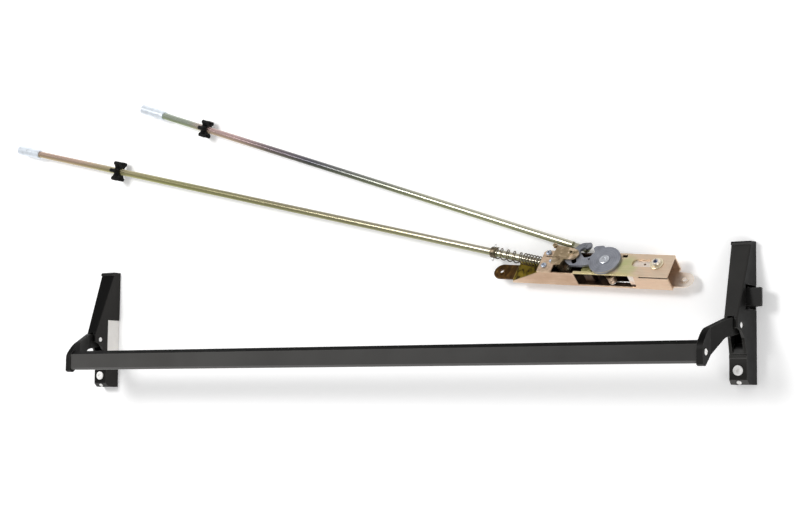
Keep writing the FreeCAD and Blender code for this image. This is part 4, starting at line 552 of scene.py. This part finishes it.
def bolt_sill():
    """The black U-shaped lining of the cut-out that the latch bolt comes out of, also standing in for the
    shade round the bolt.
    """
    house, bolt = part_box("right_housing"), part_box("latch_bolt")
    middle = (bolt[0][1] + bolt[1][1]) / 2
    inner_half, inner_low = SILL_HALF - SILL_WALL, bolt[0][2] - SILL_CLEAR
    profile = [(-SILL_HALF, SILL_LOW), (SILL_HALF, SILL_LOW), (SILL_HALF, SILL_HIGH),
               (inner_half, SILL_HIGH), (inner_half, inner_low), (-inner_half, inner_low),
               (-inner_half, SILL_HIGH), (-SILL_HALF, SILL_HIGH)]
    count = len(profile)
    form = bmesh.new()
    corners = [form.verts.new((house[1][0] - inset, middle + y, z))
               for inset in (SILL_DEEP, SILL_IN) for y, z in profile]
    faces = [(at, (at + 1) % count, (at + 1) % count + count, at + count) for at in range(count)]
    faces += [range(count), range(count, 2 * count)]
    for face in faces:
        form.faces.new([corners[at] for at in face])
    bmesh.ops.recalc_face_normals(form, faces=form.faces)
    bmesh.ops.bevel(form, geom=form.edges, offset=SILL_SOFT, segments=2, affect="EDGES", profile=0.7)
    mesh = bpy.data.meshes.new("bolt_sill")
    form.to_mesh(mesh)
    form.free()
    mesh.materials.append(BOLT)
    piece = placed(bpy.data.objects.new("bolt_sill", mesh))
    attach(piece, "door_side")


def living_coil(node):
    """A spring of the CAD coil's shape, in place of the hidden CAD node."""
    piece = placed(bpy.data.objects.new(node + "_coil", nodes[node].data.copy()))
    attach(piece, "door_side")
    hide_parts(node)
    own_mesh(piece)


def white_floor():
    """A plain white floor that stays white for the camera and in reflections, and keeps the shadows."""
    mesh = bpy.data.meshes.new("floor")
    corners = [(-FLOOR_REACH, -FLOOR_REACH, -FLOOR_DROP), (FLOOR_REACH, -FLOOR_REACH, -FLOOR_DROP),
               (FLOOR_REACH, FLOOR_REACH, -FLOOR_DROP), (-FLOOR_REACH, FLOOR_REACH, -FLOOR_DROP)]
    mesh.from_pydata(corners, [], [(0, 1, 2, 3)])
    look = Finish("floor", Specular_IOR_Level=0.0)
    path = look.tree.nodes.new("ShaderNodeLightPath").outputs
    seen = look.maths("MAXIMUM", path["Is Camera Ray"], path["Is Glossy Ray"])
    look.paint(look.mix(seen, (FLOOR_TONE, FLOOR_TONE, FLOOR_TONE), (1.0, 1.0, 1.0)), 0.9)
    look.set(look.surface, "Emission Color", (1, 1, 1, 1))
    look.set(look.surface, "Emission Strength", look.times(seen, FLOOR_GLOW))
    mesh.materials.append(look.material)
    placed(bpy.data.objects.new("floor", mesh))


def lamp(name, at, wide, power):
    """A square area lamp that faces the middle of the set."""
    data = bpy.data.lights.new(name, "AREA")
    data.size = wide
    data.energy = power
    item = placed(bpy.data.objects.new(name, data))
    item.location = at
    item.rotation_euler = (-Vector(at)).to_track_quat("-Z", "Y").to_euler()


def studio():
    """A soft key from the upper left and a pale room that is brighter at the horizon than overhead."""
    world = bpy.data.worlds.new("room")
    bpy.context.scene.world = world
    world.use_nodes = True
    tree = world.node_tree
    background = tree.nodes["Background"]
    place = tree.nodes.new("ShaderNodeTexCoord")
    parts = tree.nodes.new("ShaderNodeSeparateXYZ")
    tree.links.new(place.outputs["Generated"], parts.inputs[0])
    shade = tree.nodes.new("ShaderNodeMapRange")
    tree.links.new(parts.outputs["Z"], shade.inputs["Value"])
    shade.inputs["To Min"].default_value = ROOM_HORIZON
    shade.inputs["To Max"].default_value = ROOM_OVERHEAD
    path = tree.nodes.new("ShaderNodeLightPath")
    level = tree.nodes.new("ShaderNodeMix")
    tree.links.new(path.outputs["Is Camera Ray"], level.inputs[0])
    tree.links.new(shade.outputs[0], level.inputs[2])
    level.inputs[3].default_value = 1.0
    background.inputs["Color"].default_value = (1, 1, 1, 1)
    tree.links.new(level.outputs[0], background.inputs["Strength"])
    lamp("key", *KEY_LAMP)
    lamp("side", *SIDE_LAMP)


def camera():
    """The photograph's own camera."""
    data = bpy.data.cameras.new("camera")
    data.sensor_width = SENSOR_WIDE
    data.lens = data.sensor_width * FOCAL_PIXELS / PICTURE_WIDE
    data.clip_end = FAR_CLIP
    item = placed(bpy.data.objects.new("camera", data))
    right = CAMERA_RIGHT.normalized()
    back = right.cross(CAMERA_UP).normalized()
    up = back.cross(right)
    item.matrix_world = Matrix.Translation(CAMERA_AT) @ Matrix((right, up, back)).transposed().to_4x4()
    bpy.context.scene.camera = item


for node_name, finish in DRESS.items():
    dress(node_name, finish)
living_coil("rod_spring")
living_coil("bolt_spring")
bolt_sill()
white_floor()
studio()
camera()
bpy.context.scene.view_settings.view_transform = "Standard"
